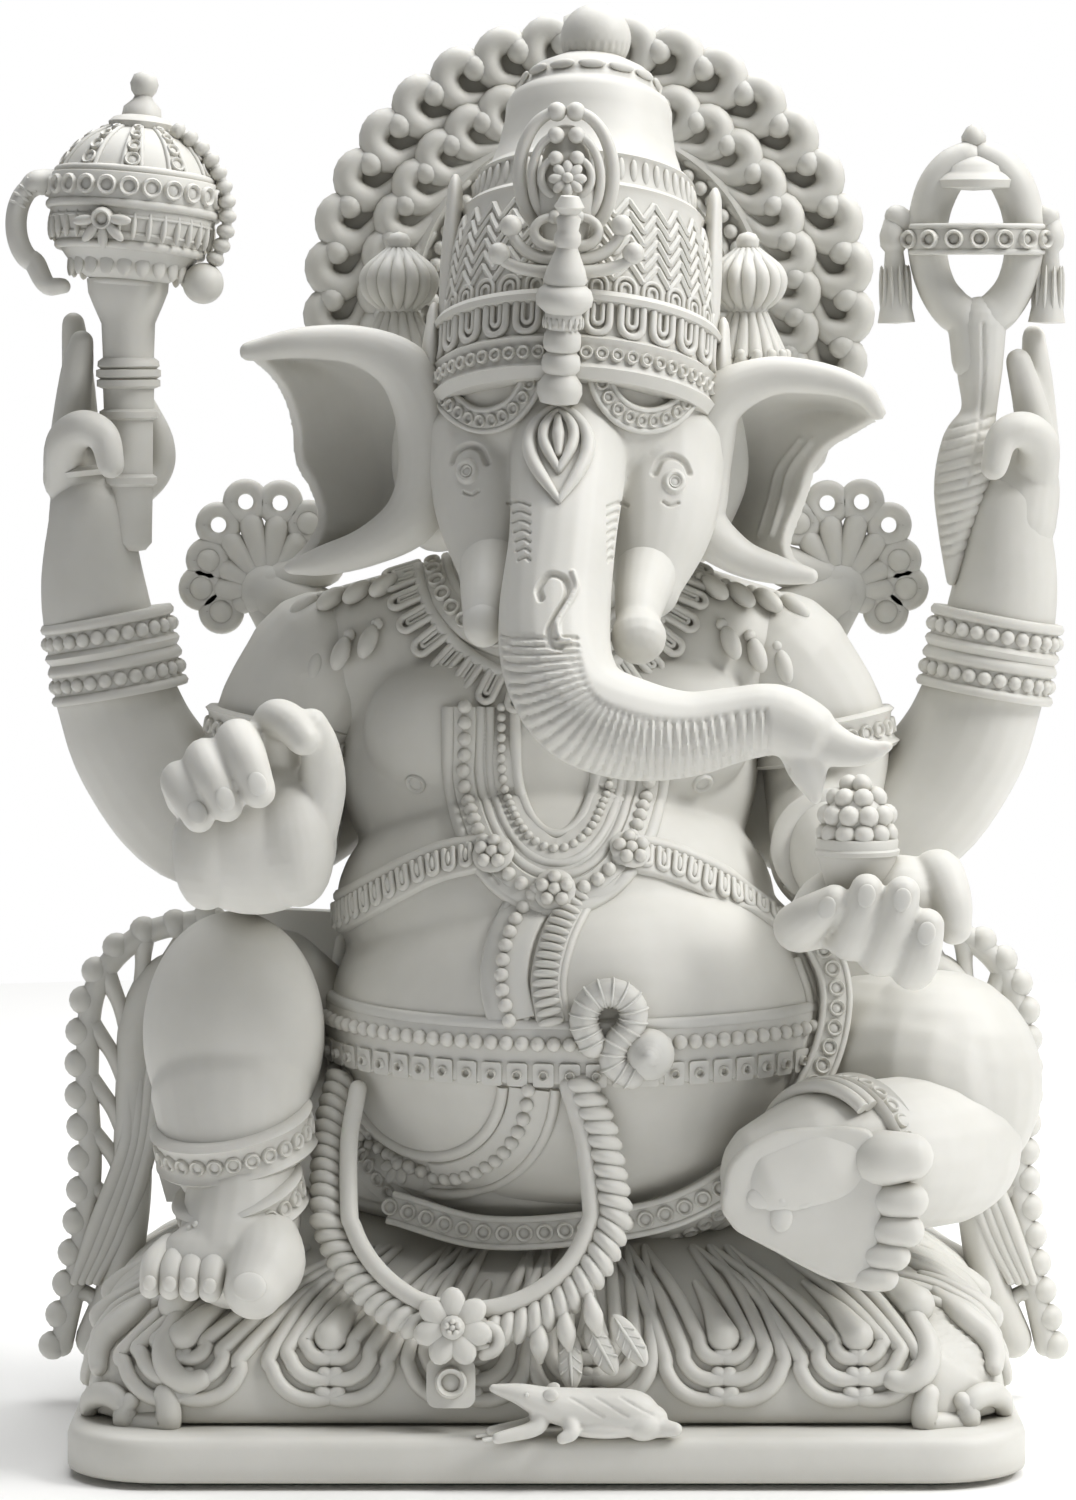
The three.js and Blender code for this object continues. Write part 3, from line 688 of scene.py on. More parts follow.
class IDOL_OT_torso(bpy.types.Operator):
    """Belly, chest, shoulders and neck as one skin, and the hips under it"""
    bl_idname = "idol.torso"
    bl_label = "Torso"

    def execute(self, context):
        grain = context.scene.idol_sizes.grain
        torso = clay([
            ball((5.8, -10, 64.5), (40.8, 36.5, 31.5), rows=24),
            ball((1.5, -6, 84), (35, 30, 22), rows=20),
            ball((0.5, -0.5, 106), (33.5, 22.5, 30), rows=20),
            limb([(-31, 3, 122), (-14, 0, 124), (2, -1, 126), (18, 0, 124), (33, 3, 122)],
                 [12.5, 15, 16.5, 15, 12.5]),
            limb([(3, 1, 124), (4, -5, 146)], [16.5, 15]),
            ball((-15, -12, 112), (14, 10, 12)),
            ball((19, -12, 112), (14, 10, 12)),
        ], grain * 1.1, 14)
        skin = Surface(torso)
        nipples = [set_on(ring_boss(1.7, 0.5, 0.5), *skin.front_spot(x, 104)) for x in (-20.5, 24.5)]
        piece("torso", joined(torso, *nipples), ["belly", "chest"], (5.5, -10, 65.4))
        hips = clay([
            ball((4.5, -1, 42), (42, 32, 13.5), rows=18),
            ball((-20, 2, 46), (20, 22, 14)),
            ball((28, 2, 46), (20, 22, 14)),
        ], grain * 1.3, 10)
        folds = [[(x, -33 + 0.015 * (x - 4) ** 2, z) for x in np.linspace(-34, 42, 30)] for z in (37.5, 40.5)]
        piece("loincloth", worked(hips, folds, 1.2, -0.6), ["hips"], (4.5, 0.2, 42.6))
        return {"FINISHED"}


class IDOL_OT_legs(bpy.types.Operator):
    """Right leg with its knee up, left leg folded flat, both feet, anklets and toes"""
    bl_idname = "idol.legs"
    bl_label = "Legs"

    def execute(self, context):
        grain = context.scene.idol_sizes.grain
        shin = clay([
            ball((-48.7, -26.5, 65.6), (14.2, 14.6, 19.2), rows=24),
            limb([(-48.9, -31, 57), (-48.3, -34, 50), (-46.8, -36.5, 43)], [12.6, 11.2, 8.8]),
        ], grain, 12)
        band_form = cuff((-48.3, -34.2, 50.6), (14, -10, 0), 12.2, 6.6)
        piece("right_shin", joined(shin, band_form), ["right_shin"], (-48.5, -33.1, 59.2))
        thigh = clay([limb([(-44.4, -9, 68), (-37, 0, 56), (-22, 8, 46)], [12.6, 16.5, 16])], grain * 1.3, 8)
        piece("right_thigh", thigh, ["right_thigh"], (-37.2, 0.6, 56.7))
        foot = clay([
            limb([(-46.6, -36.5, 45), (-46.8, -39, 39), (-47.6, -43, 34)], [8.8, 9.2, 9.0]),
            ball((-48.4, -45, 33.5), (11, 7, 6)),
            limb([(-43.6, -43, 36.5), (-42.8, -49, 33), (-44.2, -53.6, 30)], [5.6, 6.2, 4.8]),
        ], grain * 0.8, 5)
        toes = []
        for i in range(4):
            x, size = -50.4 - 3.1 * i, 2.15 - 0.08 * i
            toes.append(limb([(x + 2, -44, 35), (x, -50.4 + 0.7 * i, 33), (x - 0.5, -53.4 + 0.9 * i, 29.6)],
                             [size, size * 1.05, size * 0.85]))
            toes.append(ball((x - 0.5, -55.1 + 0.9 * i, 30.6), (1.1, 0.5, 1.2), rows=8))
        toes.append(ball((-44.8, -58.2, 31), (2.6, 0.7, 2.2), turn=(-20, 0, 0)))
        anklet = cuff((-47, -38.8, 41.2), (18, -16, 0), 9.9, 5.4)
        bloom = set_on(rosette(1.1), (-53.2, -47.2, 37.6), (-0.5, -1, 0.2))
        piece("right_foot", joined(foot, anklet, bloom, *toes), ["right_foot"], (-47.7, -43.1, 35.0))

        thigh = clay([
            limb([(60, -20, 57), (50, -10, 54), (26, 6, 46)], [17, 18.5, 15]),
            ball((61.5, -21, 57), (16.5, 15, 18)),
        ], grain * 1.1, 10)
        piece("left_thigh", thigh, ["left_thigh"], (49.8, -8.2, 52.6))
        shin = clay([limb([(62, -26, 48), (54, -36, 48), (43, -42, 48), (36, -44, 46)],
                          [12.4, 12, 11.2, 9.6])], grain, 8)
        ankle = Axis((46, -40.5, 47.8), (0, -90, 50))
        wraps = [cord_on(ankle.ring(radius, h, 50, 150), 1.1) for radius, h in ((12.2, 4.2), (11.9, 6.0))]
        piece("left_shin", joined(shin, cuff((46, -40.5, 47.8), (0, -90, 50), 12.6, 5.6), *wraps),
              ["left_shin"], (51.1, -35.8, 46.0))
        sole = [(26.4, 41.5), (27.8, 48.6), (33.5, 53), (42, 54.4), (49.4, 53.4), (51, 46),
                (50.6, 38), (49, 31.6), (44, 30.6), (35, 35), (28.6, 38.4)]
        edge = spline(standing(sole, 0), 0.8)
        foot = clay([
            slab(edge[:, [0, 2]], -52, -43, standing=True),
            limb([(34, -43, 45), (44, -41, 48)], [5, 6]),
        ], grain * 0.9, 14)
        toes = [limb([(49, -48.6, 49), (51.6, -50.4, 49.4), (55, -51, 49.7)], [4.2, 4.3, 3.7])]
        for z, size, out in ((43.0, 2.8, 55.2), (38.4, 2.6, 54.8), (34.5, 2.3, 53), (31.2, 2.1, 51.4)):
            toes.append(limb([(out - 5.4, -48.6, z + 0.4), (out - 2.6, -50.6, z), (out, -51, z)],
                             [size * 0.9, size, size]))
        bloom = joined(flower(4, 5.2, 1.75, 1.2, 0.7), ring_boss(1.5, 0.7, 0.4))
        piece("left_foot", joined(foot, set_on(bloom, (35.6, -52, 43.6), (0, -1, 0)), *toes), ["left_foot"],
              (42.0, -51.2, 41.0))
        return {"FINISHED"}


# ---------- arms and hands ----------

def finger(points, radii):
    return limb(points, radii, sides=16, step=0.6)


def nails_on(hand, places, size, along):
    """Thin scales on a hand's fingers, where they face the front at x and z."""
    skin = Surface(hand)
    spots = [skin.front_spot(x, z) for x, z in places]
    return [set_on(ball((0, 0, 0), size), *spot, along=along) for spot in spots if spot]


class IDOL_OT_front_arms(bpy.types.Operator):
    """The raised right hand, and the left hand that holds the bowl of sweets"""
    bl_idname = "idol.front_arms"
    bl_label = "Front arms"

    def execute(self, context):
        grain = context.scene.idol_sizes.grain
        arm = clay([
            limb([(-36, 2, 121), (-42, 3, 111), (-42.5, 2, 100), (-42.5, -4, 95)], [12.5, 11.6, 10.4, 9.6]),
            limb([(-42.5, -4, 95), (-43.5, -24, 93.5), (-44, -42, 95)], [9.8, 9.0, 8.0]),
        ], grain * 1.1, 10)
        armlet = cuff((-42.3, 2.5, 110), (0, 10, 0), 12.4, 6.4)
        piece("right_front_arm", joined(arm, armlet), ["right_upper_arm", "right_forearm"],
              (-42.7, 1.9, 110.3))
        hand = clay([
            ball((-44.4, -47, 97), (12.6, 8.5, 10.8), rows=16),
            ball((-45.4, -47.5, 104), (11.2, 6.6, 7)),
            ball((-38.4, -50, 97.5), (6.2, 6.5, 10), turn=(0, -8, 0)),
            ball((-51, -49.5, 96.5), (5.6, 5.5, 9.5), turn=(0, 6, 0)),
            finger([(-54.5, -48, 104), (-55.2, -52, 107), (-53.8, -56, 105), (-52.2, -57.5, 102)],
                   [3.3, 3.2, 3.0, 2.5]),
            finger([(-50.6, -48.5, 106), (-51.4, -53, 110.2), (-50, -57.5, 108), (-48, -58.8, 103.8)],
                   [3.5, 3.4, 3.2, 2.6]),
            finger([(-45.6, -48.5, 108), (-46.6, -53, 113), (-45.2, -57.5, 111), (-43.2, -59, 106)],
                   [3.6, 3.5, 3.3, 2.7]),
            finger([(-40.5, -47, 109), (-41.2, -51, 115.5), (-38.8, -54.5, 115.8), (-36.6, -56, 113.6)],
                   [3.6, 3.4, 3.1, 2.6]),
            finger([(-36, -48.5, 99), (-34, -50, 106), (-34.2, -52.5, 112), (-35.4, -54, 115.6)],
                   [4.4, 3.7, 3.0, 2.5]),
        ], grain * 0.75, 4)
        nails = nails_on(hand, ((-52.3, 102.8), (-48.0, 104.9), (-43.2, 107.2)), (1.9, 1.45, 0.35),
                         (0.35, 0, -1))
        piece("right_hand", joined(hand, *nails), ["right_hand"], (-43.7, -52.1, 102.3))

        arm = clay([
            limb([(37, 2, 121), (44, 3, 111), (44.5, 1, 101), (44, -4, 96.5)], [12.5, 11, 9.6, 8.6]),
            limb([(44, -4, 96.5), (46, -20, 92), (49, -36, 88.5)], [8.8, 7.8, 7.4]),
        ], grain * 1.1, 10)
        cuffs = [cuff((44, 2.2, 110), (0, -10, 0), 11.8, 6.4), cuff((45, -16, 93), (70, 0, 0), 9.2, 6.6)]
        piece("left_front_arm", joined(arm, *cuffs), ["left_upper_arm", "left_forearm"], (44.9, 1.3, 111.6))
        hand = clay([
            ball((50, -41.5, 86.5), (12.5, 9.5, 7.5), rows=16),
            ball((54, -43, 88.5), (8, 8, 6.5)),
            finger([(45.5, -45, 83), (46.6, -50.5, 83), (47.6, -53.5, 87), (48.2, -54, 90.6)],
                   [3.6, 3.4, 3.0, 2.6]),
            finger([(50.2, -45, 81), (50.9, -51, 80.8), (52.4, -54.5, 85.5), (53.6, -55, 90.2)],
                   [3.7, 3.5, 3.1, 2.7]),
            finger([(55.5, -44.5, 80), (55.5, -50.5, 78.5), (56.4, -54.2, 81.5), (57.2, -54.6, 85.2)],
                   [3.6, 3.5, 3.2, 2.8]),
            finger([(58, -39, 88), (59.6, -44.5, 92.2), (61.2, -48, 88.5), (61.8, -48.5, 84.5)],
                   [4.4, 3.9, 3.4, 2.8]),
            finger([(43, -38, 85), (38.4, -44.5, 84), (39.8, -50, 86), (43.4, -52.5, 88.8)],
                   [4.6, 3.9, 3.5, 2.6]),
        ], grain * 0.75, 4)
        nails = nails_on(hand, ((48.0, 90.0), (53.3, 89.5), (57.0, 84.4), (42.2, 88.0)), (1.8, 1.4, 0.35),
                         (0.2, 0, 1))
        piece("left_hand", joined(hand, *nails), ["left_hand"], (51.3, -46.8, 84.8))

        bowl = lathe((47.2, -46, 0), [
            (0, 88), (3.6, 88.2), (4.4, 89), (5.4, 93), (6.1, 95.2), (6.4, 95.3), (6.5, 96.0), (6.2, 96.3),
            (6.3, 97.4), (6.1, 97.8), (0, 98.0),
        ], sides=48)
        piece("sweet_bowl", bowl, ["sweet_bowl"], (46.5, -46.0, 95.5))
        balls = [ball((47.2, -46, 100.4), (4.9, 4.9, 5.2))]
        for height, radius, count, size in ((98.6, 4.7, 11, 1.65), (101.4, 4.5, 10, 1.65),
                                            (104.0, 3.2, 7, 1.6), (106.0, 1.3, 3, 1.5)):
            for i in range(count):
                a = 2 * math.pi * (i + 0.5 * (count % 2)) / count
                balls.append(ball((47.2 + radius * math.cos(a), -46 + radius * math.sin(a), height), size,
                                  rows=8))
        piece("sweets", joined(*balls), ["sweets"], (46.5, -46.0, 103.9))
        return {"FINISHED"}


class IDOL_OT_rear_arms(bpy.types.Operator):
    """The two raised rear arms with their beaded armlets"""
    bl_idname = "idol.rear_arms"
    bl_label = "Rear arms"

    def execute(self, context):
        sizes = context.scene.idol_sizes
        for side, s in (("right", -1), ("left", 1)):
            def at(x, y, z):
                return (BODY_MIDDLE + s * x, y, z)

            arm = clay([
                limb([at(30, 12, 104), at(44, 11, 95.5), at(57, 9.5, 96.5), at(66, 8, 107), at(70.5, 7, 118)],
                     [10, 10.5, 11.2, 10.6, 9.6]),
                limb([at(70.5, 7, 118), at(73.2, 6, 133), at(73.6, 5, 146)], [9.4, 8.6, 6.6]),
            ], sizes.grain * 1.1, 10)
            piece(side + "_rear_arm", arm, [side + "_rear_upper_arm", side + "_rear_forearm"],
                  (-50.7, 9.8, 102.8) if s < 0 else (52.7, 9.8, 102.8))
            hoop = lathe((0, 0, 0), [(9.6, -6.6), (10.9, -6.6), (11.2, -6.0), (10.9, -5.3), (10.3, -5.0),
                                     (10.2, -2.2), (10.8, -1.9), (11.0, -1.3), (10.7, -0.6), (10.3, -0.1),
                                     (10.7, 0.4), (11.0, 1.0), (10.7, 1.6), (10.2, 1.9), (10.1, 4.8),
                                     (10.7, 5.1), (10.9, 5.8), (10.5, 6.5), (9.4, 6.6)], sides=72)
            count = 26
            turns = [2 * math.pi * i / count for i in range(count)]
            beads = [ball((10.1 * math.cos(a), 10.1 * math.sin(a), height), 1.2, rows=6)
                     for height in (-3.6, 3.4) for a in turns]
            armlet = joined(hoop, *beads)
            centre = np.array((-70.3, 6.5, 123.0) if s < 0 else (72.3, 6.5, 123.0))
            armlet = armlet.reshaped(turned_by(armlet.verts, (0, s * 10, 0)) + centre + (s * -0.6, 0.4, 0))
            piece(side + "_rear_armlet", armlet, [side + "_rear_armlet"], centre)
        return {"FINISHED"}


# ---------- head ----------

class IDOL_OT_head(bpy.types.Operator):
    """Elephant head and trunk as one skin, with eyes, brows, wrinkles and a carved scroll"""
    bl_idname = "idol.head"
    bl_label = "Head and trunk"

    def execute(self, context):
        grain = context.scene.idol_sizes.grain
        head = clay([
            ball((4.6, -17, 163), (21.6, 20.5, 20), rows=20),
            ball((4.4, -27, 163), (14.5, 12, 15)),
            limb([(-6.5, -20, 156), (-7.6, -27, 146), (-8.2, -34, 137.5)], [13, 9.6, 5.4]),
            limb([(15.5, -20, 155), (16.6, -27, 145), (15.6, -34, 135.5)], [13, 9.6, 5.2]),
            limb([(3.6, -29, 162), (3.2, -37, 152), (2.4, -44, 143), (1.2, -50, 132), (1.8, -55, 124),
                  (5.5, -58, 118), (13, -60, 115.2), (21, -60.5, 114.6), (28, -60.5, 116), (34, -61, 116.8),
                  (38.5, -61.5, 115)],
                 [9.5, 8.8, 8.2, 8.5, 8.4, 8.2, 7.7, 6.5, 5.7, 5.4, 4.9]),
            limb([(38, -61.5, 114.5), (39, -62, 109), (40, -62.5, 105.2)], [4.3, 3.0, 1.1], flat=0.8,
                 out=(0, -1, 0)),
            limb([(38, -61.5, 115), (44, -63, 112.6), (48, -63.5, 112.2), (50.6, -63.5, 113)],
                 [4.6, 2.9, 1.9, 1.0], flat=0.8, out=(0, -1, 0)),
        ], grain * 0.8, 9)
        skin = Surface(head)
        eyes = ((-12.2, 153.2, 1), (19.6, 151.6, -1))

        def front(points):
            return skin.front(spline([(x, 0, z) for x, z in points], 0.4)).points
        grooves, fine, ridges = [], [], []
        for x, z, s in eyes:
            ring = [(x + 1.25 * math.cos(a), z + 1.4 * math.sin(a)) for a in np.linspace(0, 2 * math.pi, 16)]
            ridges.append(front(ring))
            brow = [(x + s * u, z + v) for u, v in ((-2.4, 1.4), (-1.6, 3.0), (0.2, 3.9), (2.0, 3.4),
                                                    (3.0, 1.4))]
            grooves.append(front(brow))
            under = [(x + s * u, z + v) for u, v in ((-0.6, -3.2), (0.6, -3.6), (1.7, -3.0))]
            fine.append(front(under))
        for i in range(7):
            z = 147.0 - i * 1.35
            fine.append(front([(-5.8 + 0.25 * i, z + 1.4), (-4.4 + 0.2 * i, z + 1.9), (-2.6, z + 1.4)]))
            fine.append(front([(12.4 - 0.25 * i, z + 1.0), (10.9 - 0.2 * i, z + 1.6), (9.2, z + 1.1)]))
        scroll = [(-0.9, 134.7), (-1.2, 136.2), (0.4, 138.2), (2.6, 137.6), (3.1, 135.2), (1.6, 132.6),
                  (0.3, 130.2), (0.7, 128.0), (2.0, 127.7)]
        grooves.append(front(scroll))
        ridges.append(front([(x + 1.3, z + 0.9) for x, z in scroll[3:]]))
        head = refined(head, grooves + ridges + fine, 2.2)
        head = worked(head, grooves, 0.8, -0.75)
        head = worked(head, ridges, 0.7, 0.6)
        head = worked(head, fine, 0.45, -0.4)
        bend = [(1.0, -50, 132), (1.6, -55, 124), (5.0, -58, 118), (12.5, -60, 115), (21, -60.5, 114.6),
                (29, -60.5, 116), (35, -61, 116.6)]
        line = spline(bend, 1.35)
        radius = np.interp(np.arange(len(line)), [0, len(line) * 0.5, len(line) - 1], [8.6, 8.0, 5.6])
        creases = []
        tangents = unit(np.gradient(line, axis=0))
        for c, t, r in list(zip(line, tangents, radius))[2:-2]:
            up = unit(np.cross(t, (0, -1, 0)))
            arc = [c + (r + 3) * (math.cos(a) * np.array([0, -1, 0]) - math.sin(a) * up)
                   for a in np.linspace(-1.25, 0.35, 12)]
            hits = [skin.tree.find_nearest(Vector(p))[0] for p in arc]
            creases.append(np.array([h for h in hits if h is not None]))
        head = worked(head, creases, 0.6, -0.42)
        discs = [set_on(ring_boss(1.0, 0.4, 0.3), *skin.front_spot(x, z)) for x, z, _ in eyes]
        piece("head_and_trunk", joined(head, *discs), ["head", "trunk"], (4.5, -18.5, 158.1))

        right = clay([limb([(-8.0, -33, 139.5), (-8.8, -42, 134.5), (-9.4, -46, 131.2)], [5.4, 4.3, 3.3])],
                     grain * 0.7, 4)
        stub = joined(right, ball((-9.5, -46.5, 130.4), (3.2, 3.4, 3.6)))
        piece("right_tusk", stub, ["right_tusk"], (-8.3, -40.1, 136.2))
        left = clay([
            limb([(15.4, -34, 138), (14.2, -42, 133.5), (13.8, -46, 130.6)], [5.0, 3.9, 3.3]),
            limb([(13.8, -46, 130.6), (13.9, -48.2, 128.6)], [3.4, 4.3]),
        ], grain * 0.7, 3)
        piece("left_tusk", left, ["left_tusk"], (14.5, -41.4, 132.6))
        return {"FINISHED"}


class IDOL_OT_ears(bpy.types.Operator):
    """Wide cupped ears with a thick rolled rim, their hollows open to the front"""
    bl_idname = "idol.ears"
    bl_label = "Ears"

    def execute(self, context):
        grain = context.scene.idol_sizes.grain
        top = [(-46.2, -22, 171.6), (-38, -23, 172.9), (-29, -22.5, 172.4), (-22, -21, 168.6),
               (-18.6, -20, 161),
               (-18.4, -20, 152), (-21.4, -20, 145.4), (-28, -20, 141.2), (-35, -20, 139), (-40, -20, 137.9)]
        free = [(-46.2, -21, 171.4), (-41.6, -12, 166), (-39.6, -8, 159.5), (-39.3, -7, 154.4),
                (-37, -8, 150.6), (-35.7, -10, 147), (-35.6, -14, 144), (-37.5, -17, 140.5),
                (-40, -19.5, 138)]
        right = clay([
            limb(top, [1.6, 2.5, 3.2, 4.4, 5.0, 5.0, 4.4, 3.2, 2.4, 1.1], sides=16),
            sheet(woven(top, free, (4, 13, 0)), 2.2),
            limb([(-16, -12, 165), (-17, -10, 155), (-17, -12, 146)], [6.5, 7.5, 6]),
        ], grain * 0.8, 6)
        piece("right_ear", right, ["right_ear"], (-30.8, -16.5, 155.5))
        top = [(51.6, -22, 162.2), (48.5, -23, 165.6), (42, -23, 167.5), (34, -22.5, 167.6),
               (26.5, -21.5, 163.6),
               (24.4, -20, 156.5), (23.6, -20, 149.5), (24.4, -20, 144.4), (30, -20, 139.7), (36, -20, 137.6),
               (41.2, -20, 136.6)]
        free = [(51.8, -22, 161.4), (48.6, -15, 159.2), (44.3, -10, 156.4), (41.8, -8, 152.6),
                (40.8, -8, 148.6),
                (38.6, -11, 143.6), (38, -15, 140.6), (39, -18, 138.4), (41.2, -20, 136.7)]
        left = clay([
            limb(top, [1.3, 2.0, 2.6, 3.2, 4.4, 4.9, 4.9, 4.2, 3.0, 2.3, 1.4], sides=16),
            sheet(woven(top, free, (-4, 13, 0)), 2.2),
            limb([(24, -12, 163), (24.5, -10, 153), (23, -12, 145)], [6.5, 7.5, 6]),
        ], grain * 0.8, 6)
        hollow = Surface(left)
        waves = [hollow.front(spline([(x - d, 0, z)
                                      for x, z in ((42, 157.5), (38.8, 153), (37.4, 148), (35.6, 142.5))],
                                     0.5)).points for d in (0, 1.8)]
        piece("left_ear", worked(left, waves, 0.9, 0.6), ["left_ear"], (39.8, -16.5, 155.5))
        return {"FINISHED"}


# ---------- carved ornament: arcs, curls and leaves, and how they lie on a surface ----------

def arc(cx, cz, rx, rz, start, stop, count=15):
    """[x, z] points on an ellipse between two angles in degrees."""
    return [(cx + rx * math.cos(a), cz + rz * math.sin(a))
            for a in np.radians(np.linspace(start, stop, count))]


def curl(start, heading, stem, radius, sweep, tighten=0.55, steps=10):
    """[x, z] points: a straight stem, then a turn through sweep degrees that tightens as it goes."""
    at, way = np.array(start, float), math.radians(heading)
    points = [tuple(at)]
    if stem:
        at = at + stem * np.array([math.cos(way), math.sin(way)])
        points.append(tuple(at))
    bend = math.radians(sweep / steps)
    for i in range(steps):
        reach = abs(bend) * radius * (1 + (tighten - 1) * i / steps)
        at = at + reach * np.array([math.cos(way + bend / 2), math.sin(way + bend / 2)])
        way += bend
        points.append(tuple(at))
    return points


def leaf(mid, top, low, half, side):
    """[x, z] points down one side of a pointed leaf."""
    return [(mid + side * half * math.sin(math.pi * t ** 0.8), top + (low - top) * t)
            for t in np.linspace(0, 1, 11)]


def standing(line, y=0.0):
    """[x, z] points as places at depth y."""
    return [(x, y, z) for x, z in line]


def wire(points, radii, sides=10, flat=1.0, out=None):
    return limb(points, radii, flat=flat, out=out, sides=sides, step=max(0.4, 0.45 * float(np.mean(radii))))


def lying(surface, line, radii, way=(0, 1, 0), sink=0.25):
    """A tapering rib along [along, z] points pushed onto the surface, sunk by a share of its radius."""
    flat = [(u, 0, z) if way[1] else (0, u, z) for u, z in line]
    rail = surface.along(spline(flat, 0.7), way)
    if rail is None:
        return None
    radii = np.interp(np.linspace(0, 1, len(rail.points)), np.linspace(0, 1, len(radii)), radii)
    return wire(rail.points + rail.normals * (radii * (0.5 - sink))[:, None], radii)


def free_rail(points, facing, step=0.6):
    """A rail through open air that faces one way."""
    line = spline(points, step)
    return Rail(line[:, :3], np.tile(unit(facing), (len(line), 1)))


def band(width, height, sink=0.7):
    """The section of a flat strap with softened edges."""
    w = width / 2
    return [(-w, -sink), (w, -sink), (w, height * 0.6), (w - 0.3, height), (0.3 - w, height),
            (-w, height * 0.6)]


def rope(points, radius, pitch, lean=28):
    """A fat twisted cord: leaning lobes side by side along a core."""
    lobe = ball((0, 0, 0), (pitch * 0.68, radius * 1.05, radius * 0.95), turn=(0, 0, lean), rows=8)
    return joined(wire(points, radius * 0.72, sides=12), row(free_rail(points, (0, -1, 0)), lobe, pitch))


def flower(petals, reach, width, heart, thick=0.8):
    """A flat open flower that faces +Z."""
    forms = [ball((0, 0, thick * 0.5), (heart, heart, thick), rows=8)]
    for i in range(petals):
        a = 2 * math.pi * i / petals
        at = np.array([math.cos(a), math.sin(a), 0]) * reach * 0.58
        forms.append(ball(at, (reach * 0.44, width, thick * 0.8), turn=(0, 0, math.degrees(a)), rows=8))
    return joined(*forms)


def rosette(size):
    """Five round berries round a middle one, on a low cushion."""
    ring = [(math.cos(a) * size, math.sin(a) * size) for a in np.linspace(0, 2 * math.pi, 6)[:-1]]
    berries = [ball((x, y, 0.5), size * 0.56, rows=8) for x, y in [(0, 0)] + ring]
    return joined(ball((0, 0, -0.2), (size * 1.75, size * 1.75, 0.7), rows=8), *berries)


class Axis:
    """A leaning axis, and places round it by radius, angle and height. Angle 0 faces the front."""

    def __init__(self, foot, turn):
        self.foot, self.turn = np.asarray(foot, float), turn

    def at(self, radius, angle, height):
        a = math.radians(angle)
        return turned_by([(radius * math.sin(a), -radius * math.cos(a), height)], self.turn)[0] + self.foot

    def rail(self, radii, heights, angles):
        points = np.array([self.at(r, a, h) for r, a, h in zip(radii, angles, heights)])
        hubs = np.array([self.at(0, 0, h) for h in heights])
        return Rail(points, unit(points - hubs))

    def ring(self, radius, height, start=-180, stop=180):
        angles = np.linspace(start, stop, 121)
        return self.rail(np.full(121, radius), np.full(121, height), angles)

    def lathe(self, profile, sides=72):
        return lathe(self.foot, profile, self.turn, sides)


def cuff(at, turn, radius, width, pitch=2.9):
    """A bracelet: two rolled rims with a row of set discs between them."""
    axis = Axis(at, turn)
    w = width / 2
    wall = [(radius - 1.6, -w), (radius, -w), (radius + 0.6, -w + 0.6), (radius, -w + 1.2), (radius - 0.5, 0),
            (radius, w - 1.2), (radius + 0.6, w - 0.6), (radius, w), (radius - 1.6, w)]
    return joined(axis.lathe(wall), row(axis.ring(radius - 0.3, 0), ring_boss(1.25, 0.7, 0.35, sides=14),
                                        pitch))


# ---------- the seat's carving ----------

SEAT_PETALS = (-55.5, -33.0, -12.0, 7.0, 27.0, 47.5)  # middles of the front's petals
SEAT_RIBS = ((3.7, 18.2), (6.4, 15.2), (9.1, 12.2))  # half width and lowest height of a petal's ribs
RIB_TAPER = (0.7, 1.05, 1.2, 1.25, 1.2)


def petal_ribs(at, lean):
    """A petal's hooked ribs as [along, z] lines: down from the top, then round towards its middle."""
    lines = []
    for half, low in SEAT_RIBS:
        r = half * 0.72
        for s in (-1, 1):
            edge = at + s * half
            stem = [(edge - lean, 32.0), (edge - lean * 0.42, 26.5)]
            start = (0, -125) if s > 0 else (180, 305)
            lines.append(stem + arc(edge - s * r, low + r, r, r, *start, count=9))
    return lines


